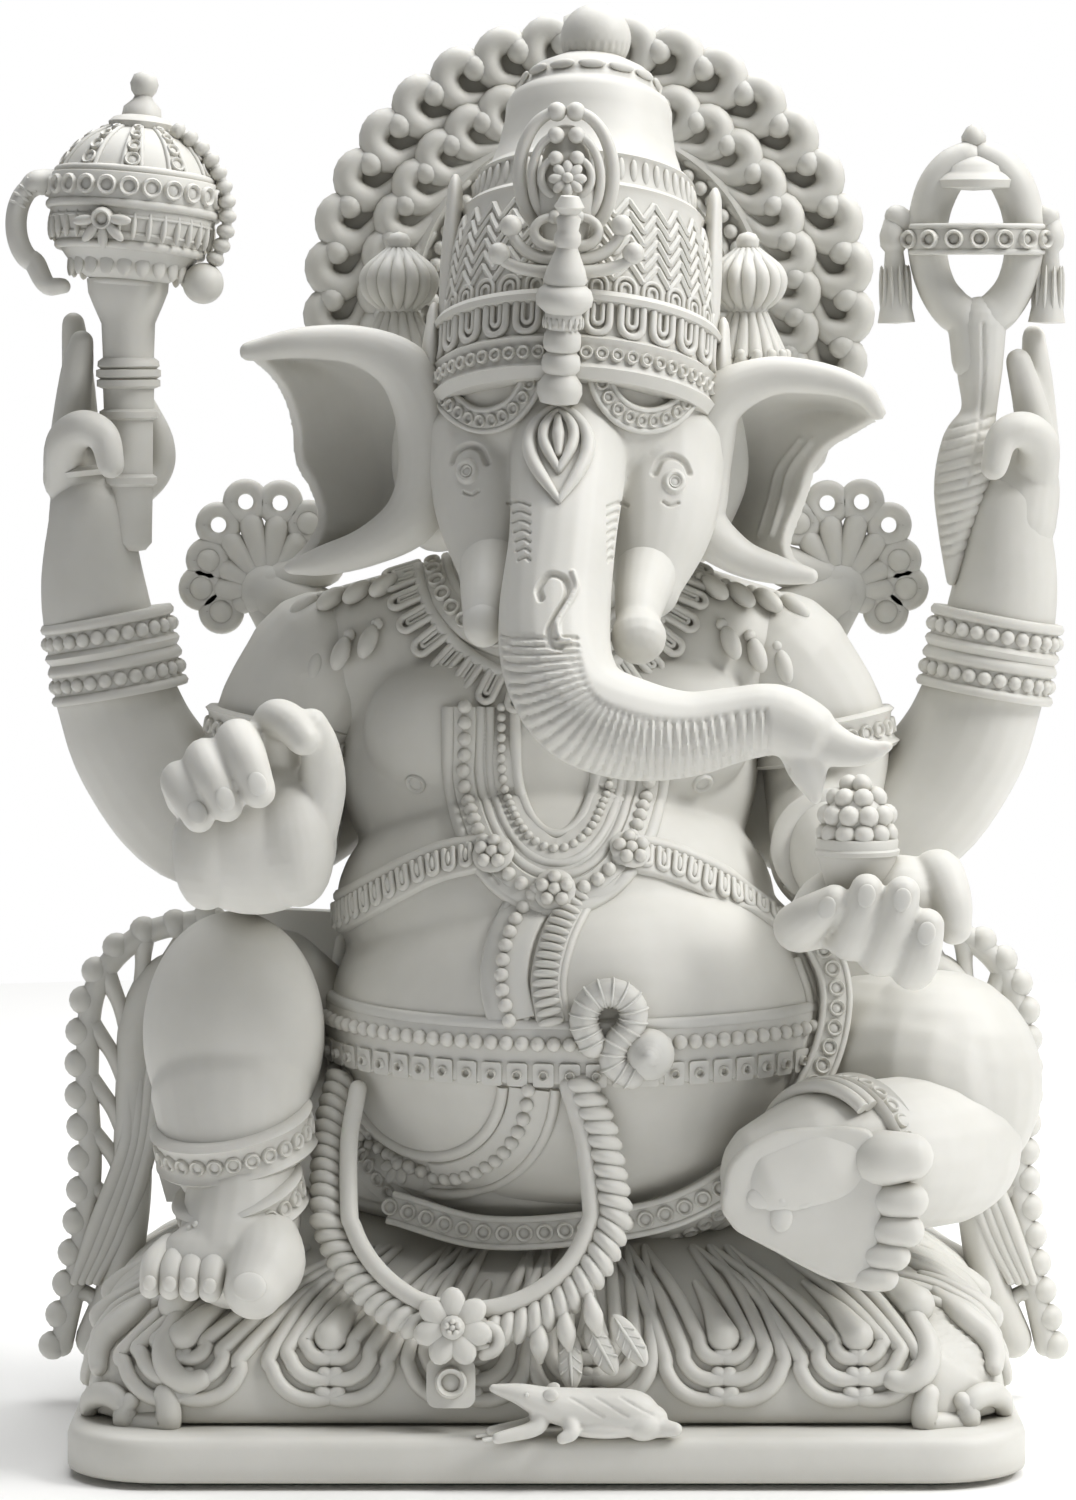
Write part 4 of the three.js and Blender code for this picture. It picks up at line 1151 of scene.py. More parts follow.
class IDOL_OT_cushion(bpy.types.Operator):
    """Lotus cushion: a low mound carved with hooked ribs, buds and corner volutes"""
    bl_idname = "idol.cushion"
    bl_label = "Lotus cushion"

    def execute(self, context):
        grain = context.scene.idol_sizes.grain
        courses = [(142, 99, 8.3), (142.4, 99.4, 10), (141.5, 98.5, 15), (139, 95.5, 19), (134, 89, 23),
                   (124, 78, 27), (106, 62, 31), (80, 42, 34.4), (44, 18, 36.0)]
        rings = [np.column_stack([rounded_rectangle(w, d, min(15, d / 3), 0), np.full(36, z)])
                 for w, d, z in courses]
        mound = clay([Form(np.concatenate(rings), *tube_faces(len(rings), 36))], grain * 1.9, 12)
        skin = Surface(mound)
        fan = []
        for s in (-1, 1):
            for k in range(9):
                line = [(s * 57, 30 - k), (s * 62.5, 27 - 1.1 * k), (s * 67.5, 23 - 1.1 * k)]
                fan.append(skin.along(spline(standing(line), 0.8), (0, 1, 0)))
        mound = worked(mound, [rail.points for rail in fan if rail], 0.9, -0.55)
        carved = []
        for at in SEAT_PETALS:
            lean = 0.36 * (at - 5)
            carved += [lying(skin, line, RIB_TAPER) for line in petal_ribs(at, lean)]
            bud = [(at - lean * 0.5, 28), (at - lean * 0.2, 24.5), (at, 21)]
            carved.append(lying(skin, bud, (0.6, 1.5, 2.6)))
        for way, middles in (((1, 0, 0), (-28, -4, 20)), ((-1, 0, 0), (-28, -4, 20)),
                             ((0, -1, 0), range(-54, 55, 27))):
            for at in middles:
                carved += [lying(skin, line, RIB_TAPER, way) for line in petal_ribs(at, 0)]
                carved.append(lying(skin, [(at, 28), (at, 24.5), (at, 21)], (0.6, 1.5, 2.6), way))
        for s in (-1, 1):
            def mirrored(line):
                return [(s * x, z) for x, z in line]
            carved += [
                lying(skin, mirrored(curl((56, 24), -60, 3, 5, -150)), (1.5, 1.9, 2.1, 1.7), sink=0.1),
                lying(skin, mirrored(curl((58, 13), -110, 1, 4, 250)), (1.8, 2.1, 2.0, 1.4), sink=0.1),
                lying(skin, mirrored(curl((60, 26), -40, 8, 7, -60)), (1.0, 2.0, 2.2, 1.5), sink=0.1),
                lying(skin, mirrored(curl((70, 9), 95, 0, 3.6, 280)), (1.5, 2.0, 1.9, 1.2), sink=0.1),
                lying(skin, mirrored([(54, 26.5), (56.5, 24.5)]), (2.2, 3.0), sink=0.1),
            ]
        piece("lotus_cushion", joined(mound, *carved), ["lotus_cushion"], (0, 0, 22.2))
        return {"FINISHED"}


class IDOL_OT_mouse(bpy.types.Operator):
    """The small mouse on the plinth, crouched towards the idol's right hand"""
    bl_idname = "idol.mouse"
    bl_label = "Mouse"

    def execute(self, context):
        grain = context.scene.idol_sizes.grain
        body = clay([
            limb([(-8, -58.6, 15.6), (-4, -58.5, 14.7), (0, -58, 13.2), (6, -57, 12), (13, -57, 11.5),
                  (16, -57, 10.5)],
                 [0.7, 1.7, 2.6, 3.4, 3.6, 2.4], sides=16),
            limb([(-1, -58.4, 12), (-1.6, -59.4, 9.8), (-7.4, -60.8, 8.4)], [1.6, 1.3, 0.9]),
            limb([(-1, -56.4, 12), (-2, -56.2, 9.9), (-8.4, -57.6, 8.9)], [1.5, 1.2, 0.8]),
            limb([(3.4, -59, 11), (3.8, -60.4, 9.2), (2.4, -61, 8.4)], [1.5, 1.2, 0.9]),
            limb([(15.4, -57.6, 9.6), (19.4, -58.8, 9.4)], [1.9, 1.1]),
            ball((14.6, -57.6, 9.8), (3.2, 3.0, 2.4)),
            ball((9, -57.5, 9.4), (6.5, 3.2, 1.6)),
        ], grain * 0.5, 3)
        skin = Surface(body)
        fur = []
        for k in range(14):
            x, z = 3.6 + 0.95 * k, 14.4 - 0.55 * (k % 4)
            fur.append(skin.front(spline([(x, 0, z), (x + 2.0, 0, z - 1.1)], 0.3)))
        body = worked(body, [rail.points for rail in fur if rail], 0.32, -0.22)
        ear = ball((0, 0, 0), (0.95, 1.25, 0.45), rows=8)
        extras = [set_on(ear, (0.6, -60.2, 14.9), (-0.3, -1, 0.3)),
                  set_on(ear, (1.0, -56.4, 15.3), (-0.4, -0.5, 0.6)),
                  ball((-3.0, -60.3, 14.9), 0.38, rows=6),
                  wire([(15.6, -55.6, 9.4), (18.6, -54.6, 8.9), (17.4, -53.6, 8.8)], [0.7, 0.6, 0.4])]
        for x, y in ((-8.0, -60.9), (-9.0, -57.7)):
            extras += [wire([(x, y, 8.4), (x - 1.5, y + 0.5 * i, 8.2)], [0.34, 0.26], sides=8)
                       for i in (-1, 0, 1)]
        piece("mouse", joined(body, *extras), ["mouse"], (5.9, -57, 13))
        return {"FINISHED"}


# ---------- headdress ----------

class IDOL_OT_crown(bpy.types.Operator):
    """Tall banded crown with its knob, side fins and beaded brow drops"""
    bl_idname = "idol.crown"
    bl_label = "Crown"

    def execute(self, context):
        axis = Axis((4.5, -19, 166), (-17, 3, 0))
        wall = [(0, -5), (21.4, -5), (22.5, -3.4), (21.8, -2.5), (21.8, 0.4), (22.4, 1.3), (21.3, 2.2),
                (21.3, 6.9),
                (22.5, 7.3), (22.8, 8.1), (22.3, 8.9), (21.1, 9.4), (20.8, 14), (20.3, 20), (18.9, 26.2),
                (19.2, 27.2),
                (18.6, 27.9), (17.6, 28.2), (16.9, 32.4), (17.3, 33.0), (16.4, 33.9), (15.4, 34.6),
                (14.0, 38.5),
                (13.2, 43), (13.1, 45.4), (12.4, 46.9), (10.8, 48), (10.5, 49.6), (9.2, 51.6), (5.6, 53.6),
                (0, 54)]
        disc = ring_boss(1.05, 0.75, 0.35, sides=14)
        hanging = joined(u_loop(4.9, 5.2, 0.62, base=0.3), u_loop(2.3, 3.5, 0.42, base=0.3))
        arch = joined(u_loop(4.0, 2.9, 0.36, base=0.2), u_loop(2.2, 1.9, 0.32, base=0.2)).flipped()
        forms = [
            axis.lathe(wall, 96),
            row(axis.ring(21.8, -1.0), disc, 2.42),
            row(axis.ring(21.35, 6.9), hanging, 5.45),
            row(axis.ring(21.0, 9.2), arch, 4.5),
            row(axis.ring(17.2, 30.3), ball((0, 0, 0), (0.62, 2.1, 0.55), rows=8), 2.1),
            row(axis.ring(10.7, 49.6), ball((0, 0, 0), (2.2, 0.8, 0.45), rows=8), 4.8),
        ]
        chevrons, folds, rise = 27, 8, 3.0
        angles = np.linspace(-180, 180, chevrons * folds + 1)
        wave = np.abs((np.arange(len(angles)) % folds) / folds * 2 - 1) * rise
        for start in np.arange(11.4, 24.0, 2.1):
            heights = np.minimum(start + wave, 26.0)
            radii = np.interp(heights, [9.4, 14, 20, 26.2], [21.1, 20.8, 20.3, 18.9])
            points = [axis.at(r, a, h) for r, a, h in zip(radii, angles, heights)]
            forms.append(wire(points, 0.55, sides=6))
        for s in (-1, 1):
            for radius, low, high, deep in ((20.4, 9.5, 30.0, 4.6), (22.6, 0.5, 9.0, 4.4)):
                side = [axis.at(radius, s * 90, h) for h in (low, (low + high) / 2, high)]
                forms.append(limb(side, [deep, deep * 1.08, deep * 0.8], flat=0.34, out=(1, 0, 0)))
        skin = surface_of("head_and_trunk")
        for s in (-1, 1):
            rail = skin.front(spline(standing(arc(3 + s * 12.2, 168.6, 7.3, 7.6, 180, 360)), 0.6))
            forms += [strap(rail, band(3.5, 1.0)), row(rail, disc, 2.4, lift=0.75)]
            forms += [cord_on(rail.stepped(0.6, edge, 0.75), 0.5) for edge in (-1.6, 1.6)]
        piece("crown", joined(*forms), ["crown"], (4.5, -16.2, 192.4))
        at, size = np.array((7.8, -4.6, 220.8)), 5.6
        pleats = [[at + size * np.array((math.cos(b) * math.cos(a), math.cos(b) * math.sin(a), math.sin(b)))
                   for b in np.radians([-80, -45, -10])] for a in np.linspace(0, 2 * math.pi, 27)[:-1]]
        knob = worked(clay([ball(at, size, rows=22)], 0.35, 2), pleats, 0.42, -0.18)
        foot = lathe((7.6, -5.0, 214.6), [(0, 0), (5.2, 0), (5.6, 1.0), (4.6, 2.2), (0, 3)])
        piece("crown_knob", joined(knob, foot), ["crown_knob"], (8, -6, 221.1))
        return {"FINISHED"}


class IDOL_OT_plume(bpy.types.Operator):
    """The crown's front plume: paired scrolls round a flower, over turned beads and a flame"""
    bl_idname = "idol.plume"
    bl_label = "Plume"

    def execute(self, context):
        mid = 3.0
        scrolls = (  # an arc from its ball end, its radius, the ball's radius and the depth
            (arc(0.9, 198.6, 6.2, 9.4, 85, -65), 1.15, 1.5, -36.4),
            (arc(1.2, 197.8, 4.0, 6.6, 85, -60), 0.8, 1.3, -37.6),
            (arc(1.4, 198.0, 2.4, 2.8, 85, -70), 0.7, 1.2, -38.4),
            (arc(2.0, 189.7, 2.9, 2.2, 95, -95), 0.85, 1.1, -39.4),
            (arc(1.4, 190.6, 7.0, 5.2, 0, -85), 1.0, 1.7, -39.0),
            (arc(1.6, 186.4, 8.6, 2.8, 0, -85), 1.0, 1.7, -39.4),
        )
        forms = [limb([(mid, -36, 203), (mid, -37.4, 196), (2.8, -38.6, 188), (2.4, -39.4, 180)],
                      [3.2, 4.4, 3.4, 3.0], flat=0.35, out=(0, -1, 0))]
        for line, radius, end, y in scrolls:
            for s in (-1, 1):
                points = standing([(mid + s * u, z) for u, z in line], y)
                forms += [wire(points, np.linspace(0.75, 1.1, len(points)) * radius),
                          ball(points[0], end, rows=10)]
        forms.append(set_on(flower(8, 2.9, 0.85, 0.9), (mid + 0.2, -39.6, 197.7), (0, -1, 0.25)))
        stack = Axis((2.0, -40.6, 166.0), (7, 3, 0))
        turned = [(0, -2.9), (2.9, -2.2), (3.5, -0.8), (3.4, 0.6), (2.3, 2.2), (2.9, 2.8), (3.0, 3.8),
                  (2.8, 4.9),
                  (2.2, 5.5), (2.8, 6.0), (2.9, 7.0), (2.8, 8.2), (2.3, 8.9), (3.0, 10.2), (2.8, 11.4),
                  (4.2, 12.6),
                  (4.4, 13.8), (4.0, 15.0), (3.0, 15.8), (3.4, 16.4), (2.9, 18.2), (1.6, 21.4), (2.1, 22.2),
                  (2.0, 23.4), (1.6, 24.0), (1.9, 25.8), (1.4, 26.4), (2.3, 27.6), (1.4, 29.2), (0, 29.4)]
        forms.append(stack.lathe(turned, 40))
        forms.append(row(stack.ring(2.95, 10.0), ball((0, 0, 0), (0.3, 0.9, 0.3), rows=6), 1.05))
        skin = surface_of("head_and_trunk")
        for s in (-1, 1):
            forms.append(lying(skin, leaf(1.9, 163.5, 149, 4.2, s), (0.5, 0.9, 1.2, 1.0, 0.5), sink=0.05))
            forms.append(lying(skin, leaf(1.9, 162.5, 153.5, 2.2, s), (0.5, 0.9, 0.9, 0.6), sink=0.05))
        forms.append(lying(skin, [(1.8, 161.5), (1.9, 156)], (0.6, 1.0, 0.6), sink=0.05))
        piece("crown_plume", joined(*forms), ["crown_plume"], (4.5, -39.3, 182.3))
        return {"FINISHED"}


class IDOL_OT_hair(bpy.types.Operator):
    """Pleated hair buds on flared stems, at both sides of the crown"""
    bl_idname = "idol.hair"
    bl_label = "Hair buds"

    def execute(self, context):
        for side, x in (("right", -23.4), ("left", 32.0)):
            axis = Axis((x, -1, 182.8), (0, 0, 0))
            forms = [axis.lathe([(0, -13), (4.6, -13), (3.6, -8.4), (2.9, -5), (4.8, -2), (4.9, 1.6),
                                 (3.2, 4.2),
                                 (1.6, 5.2), (1.9, 6.4), (1.3, 7.4), (0, 7.8)], 40)]
            for angle in np.arange(0, 360, 24):
                gore = [axis.at(r, angle, h) for r, h in ((2.4, -4.6), (4.7, -1.8), (4.9, 1.2), (1.8, 4.8))]
                frond = [axis.at(r, angle + 12, h)
                         for r, h in ((2.8, -5.4), (3.8, -8.8), (5.6, -12.6), (6.2, -11.6))]
                forms += [wire(gore, [0.5, 1.2, 1.2, 0.5]), wire(frond, [0.6, 1.2, 1.2, 0.8])]
            piece("hair_bud_" + side, joined(*forms), ["hair_bud_" + side], (x, -1, 178.3))
        return {"FINISHED"}


# ---------- jewellery and cloth borders on the body ----------

def laid(skin, line, step=0.7):
    """The rail of an [x, z] line pushed onto the front of a surface."""
    return skin.front(spline(standing(line), step))


def downwards(rail, place=0):
    """1 where the rail's across side points down at one of its places, or else -1."""
    return 1 if rail.across[place][2] < 0 else -1


def round_body(skin, level, tilt, start, stop, hub=(5.5, 0.0)):
    """A level rail round the body between two angles from the front, rising by tilt towards its ends."""
    angles = np.radians(np.linspace(start, stop, 90))
    line = [(hub[0] + math.sin(a), hub[1] - math.cos(a), level + tilt * (1 - math.cos(a))) for a in angles]
    rail = skin.around(line, hub)
    if rail is None:
        raise RuntimeError("a belt found no body to lie on")
    return rail


class IDOL_OT_collar(bpy.types.Operator):
    """Broad collar: set discs, a smooth ridge and a fringe of nested U's, with shoulder drops"""
    bl_idname = "idol.collar"
    bl_label = "Collar"

    def execute(self, context):
        skin = surface_of("torso")
        forms = []

        def hoop(half, drop):
            return laid(skin, arc(0.2, 140, half, drop, 176, 364, 40))
        disc = ring_boss(1.35, 0.9, 0.45, sides=14)
        inner, outer = hoop(16.2, 12.5), hoop(20.6, 19.8)
        forms += [cord_on(inner, 0.9), strap(hoop(18.3, 15.4), band(4.6, 0.7)),
                  row(hoop(18.3, 15.2), disc, 3.0, lift=0.6),
                  cord_on(outer, 1.15)]
        fringe = joined(u_loop(3.6, 6.2, 0.6, base=0.5), u_loop(1.7, 4.6, 0.4, base=0.45))
        forms.append(row(outer, fringe.flipped(downwards(outer, len(outer.points) // 2)), 3.9))
        drop = joined(ball((0, 0, 0.5), (1.0, 1.0, 0.9), rows=8),
                      ball((0, 3.4, 0.9), (1.45, 2.9, 1.5), rows=10))
        for s in (-1, 1):
            tops = [(23.5 + 4.2 * k, 135.5 - 1.1 * k) for k in range(4)]
            tops += [(27 + 4.4 * k, 128.5 - 1.8 * k) for k in range(3)]
            for x, z in tops:
                spot = skin.front_spot(BODY_MIDDLE + s * x, z)
                if spot:
                    forms.append(set_on(drop.quarter_turned(), *spot, along=(s * 0.25, 0, -1)))
            drape = laid(skin, [(BODY_MIDDLE + s * x, z) for x, z in ((21, 138.5), (29, 137.5), (37, 133.5))])
            if drape:
                berry = ball((0, 0, 1.2), (1.7, 1.5, 1.0), rows=8)
                forms += [strap(drape, band(5.0, 1.2)),
                          *[row(drape, berry, 3.0, across=a) for a in (-1.2, 1.6)]]
        piece("collar", joined(*forms), ["collar"], (4, -15.4, 128.7))
        return {"FINISHED"}


class IDOL_OT_necklace(bpy.types.Operator):
    """Long necklace of nested U's with rosettes, and the strap that crosses under it"""
    bl_idname = "idol.necklace"
    bl_label = "Necklace"

    def execute(self, context):
        skin = surface_of("torso")
        bead_radius = context.scene.idol_sizes.bead

        def hoop(inset):
            return laid(skin, [(1.5 - 16.8 + inset * 0.93, 116)] + arc(1.5, 108, 16.8 - inset * 0.93,
                                                                       22.4 - inset, 180, 360, 30)
                        + [(1.5 + 16.8 - inset * 0.93, 112)])
        forms = [strap(hoop(5.5), band(12.0, 0.5)), strap(hoop(2.6), band(3.8, 1.0)),
                 cord_on(hoop(0.0), 1.15),
                 row(hoop(2.6), bead(bead_radius), 2.5, lift=1.0), cord_on(hoop(5.2), 0.95),
                 cord_on(hoop(7.0), 0.85),
                 row(hoop(9.0), bead(0.75), 1.6, lift=0.7), cord_on(hoop(11.2), 1.0)]
        for x, z in ((-8.0, 93.5), (1.2, 88.6), (12.5, 94.0)):
            spot, normal = skin.front_spot(x, z)
            forms.append(set_on(rosette(1.9), spot + normal * 1.6, normal))
        piece("long_necklace", joined(*forms), ["long_necklace"], (2.7, -25.7, 104.8))

        tab = joined(u_loop(2.5, 4.0, 0.5, base=0.5), ball((0, 1.6, 0.5), (0.5, 1.4, 0.6), rows=6))
        forms = []
        for s in (-1, 1):
            line = [(1.5 + s * 11, 94.8), (1.5 + s * 19, 92.6), (1.5 + s * 27, 88.4), (1.5 + s * 34, 83.8)]
            rail = laid(skin, line)
            sign = downwards(rail)
            forms += [strap(rail.stepped(0.7, sign * 1.2), band(5.4, 0.8)),
                      cord_on(rail.stepped(0.7, -sign * 1.9), 1.2),
                      row(rail, tab.flipped(sign), 2.7, across=-sign * 0.6, lift=0.5)]
        piece("chest_strap", joined(*forms), ["chest_strap"], (2.2, -4, 89.0))
        return {"FINISHED"}


class IDOL_OT_belt(bpy.types.Operator):
    """The beaded strips down the belly, and the belt with its plates and turned knot"""
    bl_idname = "idol.belt"
    bl_label = "Belt"

    def execute(self, context):
        skin = surface_of("torso")
        bead_radius = context.scene.idol_sizes.bead

        def strip(shift, low=69.5):
            return laid(skin, [(-1.8 + shift, 88), (-5.2 + shift, 82), (-6.4 + shift * 0.95, 75.5),
                               (-5.2 + shift * 0.9, low)])
        forms = [strap(strip(0), band(7.6, 0.8)), cord_on(strip(-3.1), 0.85), cord_on(strip(2.5), 0.75),
                 row(strip(-0.3), bead(bead_radius), 2.55, lift=0.9)]
        forms += [strap(strip(6.6), band(4.6, 0.9)), cord_on(strip(9.2), 0.75),
                  row(strip(6.6), ball((0, 0, 0), (0.7, 2.1, 0.8), rows=8), 1.55, lift=0.9)]
        piece("sacred_thread", joined(*forms), ["sacred_thread"], (-1.3, -41.5, 80.1))

        def course(level):
            return round_body(skin, level, 1.6, -88, 82)
        plate = joined(slab(rounded_rectangle(3.2, 3.6, 0.4, 0, 2), -0.5, 0.8),
                       ring_boss(0.8, 1.5, 0.3, sides=12))
        forms = [strap(course(65.0), band(9.6, 0.7)), cord_on(course(69.0), 1.1), cord_on(course(63.7), 0.6),
                 row(course(66.3), bead(bead_radius), 2.45, lift=0.9),
                 row(course(61.7), plate, 4.0, lift=0.5)]
        knot = [(7, -47.5, 66.5), (5.6, -47.5, 70), (7, -47.5, 73.4), (10.2, -47.5, 74.4), (13, -47.3, 72.4),
                (12.8, -47.3, 69),
                (10.6, -47.5, 66.5), (10.2, -47.5, 63.5), (12.8, -47.4, 61.8)]
        forms.append(wire(knot, 2.2, sides=14))
        ridge = ball((0, 0, 0), (0.55, 2.45, 2.45), rows=8)
        forms.append(row(free_rail(knot, (0, -1, 0)), ridge, 1.5))
        for k in range(4):
            forms.append(ball((15.5, -46.5 - 1.1 * k, 64.8), 4.0 - 0.85 * k, rows=14))
        piece("belt", joined(*forms), ["belt"], (5.7, -31.5, 69.1))
        return {"FINISHED"}


class IDOL_OT_hangings(bpy.types.Operator):
    """The belt's beaded loop, and the loincloth's border, small upright petals and beaded side edge"""
    bl_idname = "idol.hangings"
    bl_label = "Belt loop and border"

    def execute(self, context):
        skin = surface_of("torso", "loincloth")
        bead_radius = context.scene.idol_sizes.bead

        def loop(out):
            return laid(skin, arc(-18.8 + out * 0.4, 60, 12.2 + out * 0.85, 13 + out, 182, 358, 40))
        forms = [strap(loop(3.3), band(6.4, 0.8)), cord_on(loop(0), 1.0),
                 row(loop(3.2), bead(bead_radius), 2.5, lift=0.9),
                 cord_on(loop(6.4), 0.9)]
        spot, normal = skin.front_spot(-22.5, 44.5)
        forms.append(set_on(flower(7, 3.4, 1.0, 1.1), spot + normal * 0.8, normal))
        piece("belt_loop", joined(*forms), ["belt_loop"], (-13.6, -37.2, 52.3))

        def border(out):
            return laid(skin, arc(3, 66, 37 + out * 0.9, 34 + out, 196, 355, 70) + [(41.5 + out * 0.7, 70),
                                                                                    (39.5 + out * 0.6, 77)])
        link = ring_boss(1.25, 0.8, 0.4, sides=12)
        forms = [strap(border(1.8), band(5.6, 0.8)), cord_on(border(-0.9), 0.85), cord_on(border(4.5), 0.95),
                 row(border(1.8), link, 2.7, lift=0.6)]
        for k in range(5):
            forms.append(lying(skin, [(-17.4 + 2.8 * k, 28.6), (-17.4 + 2.8 * k, 32.0)], (1.3, 0.7)))
        side = free_rail([(40, -25, 84), (44.6, -26, 74), (43.6, -29, 64), (38.2, -33, 54), (31, -35.5, 46),
                          (20, -36, 39.4),
                          (6, -35, 36.4), (-10, -34, 35.6), (-24, -29, 38.6)],
                         (0.25, -1, 0.05))
        forms += [strap(side, band(4.6, 1.2, sink=2.0)),
                  row(side, ring_boss(1.35, 0.8, 0.4, sides=14), 3.2, lift=1.0)]
        forms += [cord_on(side.stepped(0.6, rim, 1.0), 0.55) for rim in (-2.1, 2.1)]
        piece("loincloth_hem", joined(*forms), ["loincloth_hem"], (6.6, -32.4, 45.9))
        return {"FINISHED"}


class IDOL_OT_garland(bpy.types.Operator):
    """Thick twisted garland from the belt to the seat, with its blossom, pendant, buds and leaves"""
    bl_idname = "idol.garland"
    bl_label = "Garland"

    def execute(self, context):
        def route(inset, forward):
            sweep = arc(-11.8, 43, 22.2 - inset, 20 - inset, 355, 190, 22)
            top = [(5.4 - inset * 0.6, 60), (8.4 - inset * 0.8, 52)]
            flat = top + sweep + [(-33.6 + inset * 0.9, 50), (-32 + inset * 0.8, 57.5)]
            depths = np.interp([z for _, z in flat], [22, 32, 45, 62], [-52.5, -51.0, -48.0, -46.0])
            pull = np.interp([x for x, _ in flat], [-34, -20], [9.0, 0.0]) \
                * np.interp([z for _, z in flat], [44, 57], [1.0, 2.7])
            return [(x, d + forward + p, z) for (x, z), d, p in zip(flat, depths, pull)]
        forms = [rope(route(0, 0), 3.0, 2.3), wire(route(3.5, -0.6), 1.4, sides=12)]
        blossom = joined(flower(7, 6.0, 2.0, 1.9, 1.3), rosette(0.9).moved((0, 0, 1.6)))
        forms.append(set_on(blossom, (-14.2, -55.6, 24.4), (0, -1, 0.15)))
        pendant = slab(rounded_rectangle(7.6, 7.4, 1.6, 0, 4), -0.8, 1.0)
        forms += [set_on(pendant, (-14.5, -54.0, 15.6), (0, -1, 0.2)),
                  set_on(ring_boss(2.4, 1.6, 0.8), (-14.5, -54.8, 15.8), (0, -1, 0.2)),
                  wire(standing(curl((-9.4, 20.2), 0, 0, 2.2, 380), -54.6), [1.1, 1.0, 0.7])]
        for x, z, lean in ((-1.2, 21.6, 0.1), (2.6, 23.4, 0.4), (6.4, 25.8, 0.7)):
            forms.append(limb([(x, -53.4, z + 3), (x + lean, -54.2, z), (x + lean * 2, -53.6, z - 2.6)],
                              [0.7, 1.5, 0.6]))
        for x, z, dx, dz in ((6, 25, 4.5, -8.5), (3.4, 23, 0.4, -8), (10, 26, 5, -8)):
            along = np.array((dx, 0, dz))
            blade = joined(ball((0, 0, 0), (4.6, 1.9, 0.8), rows=12),
                           ball((0, 0, 0.6), (4.2, 0.35, 0.5), rows=8))
            veins = [wire([(u, 0, 0.7), (u + 1.3, v * 1.5, 0.55)], 0.22, sides=6) for u in (-2.4, -0.8, 0.8)
                     for v in (-1, 1)]
            forms.append(set_on(joined(blade, *veins), np.array((x, -53.2, z)) + along * 0.5, (0, -1, 0.25),
                                along=along))
        piece("garland", joined(*forms), ["garland"], (-8.0, -46.3, 39.1))
        return {"FINISHED"}


# ---------- what the rear hands hold ----------

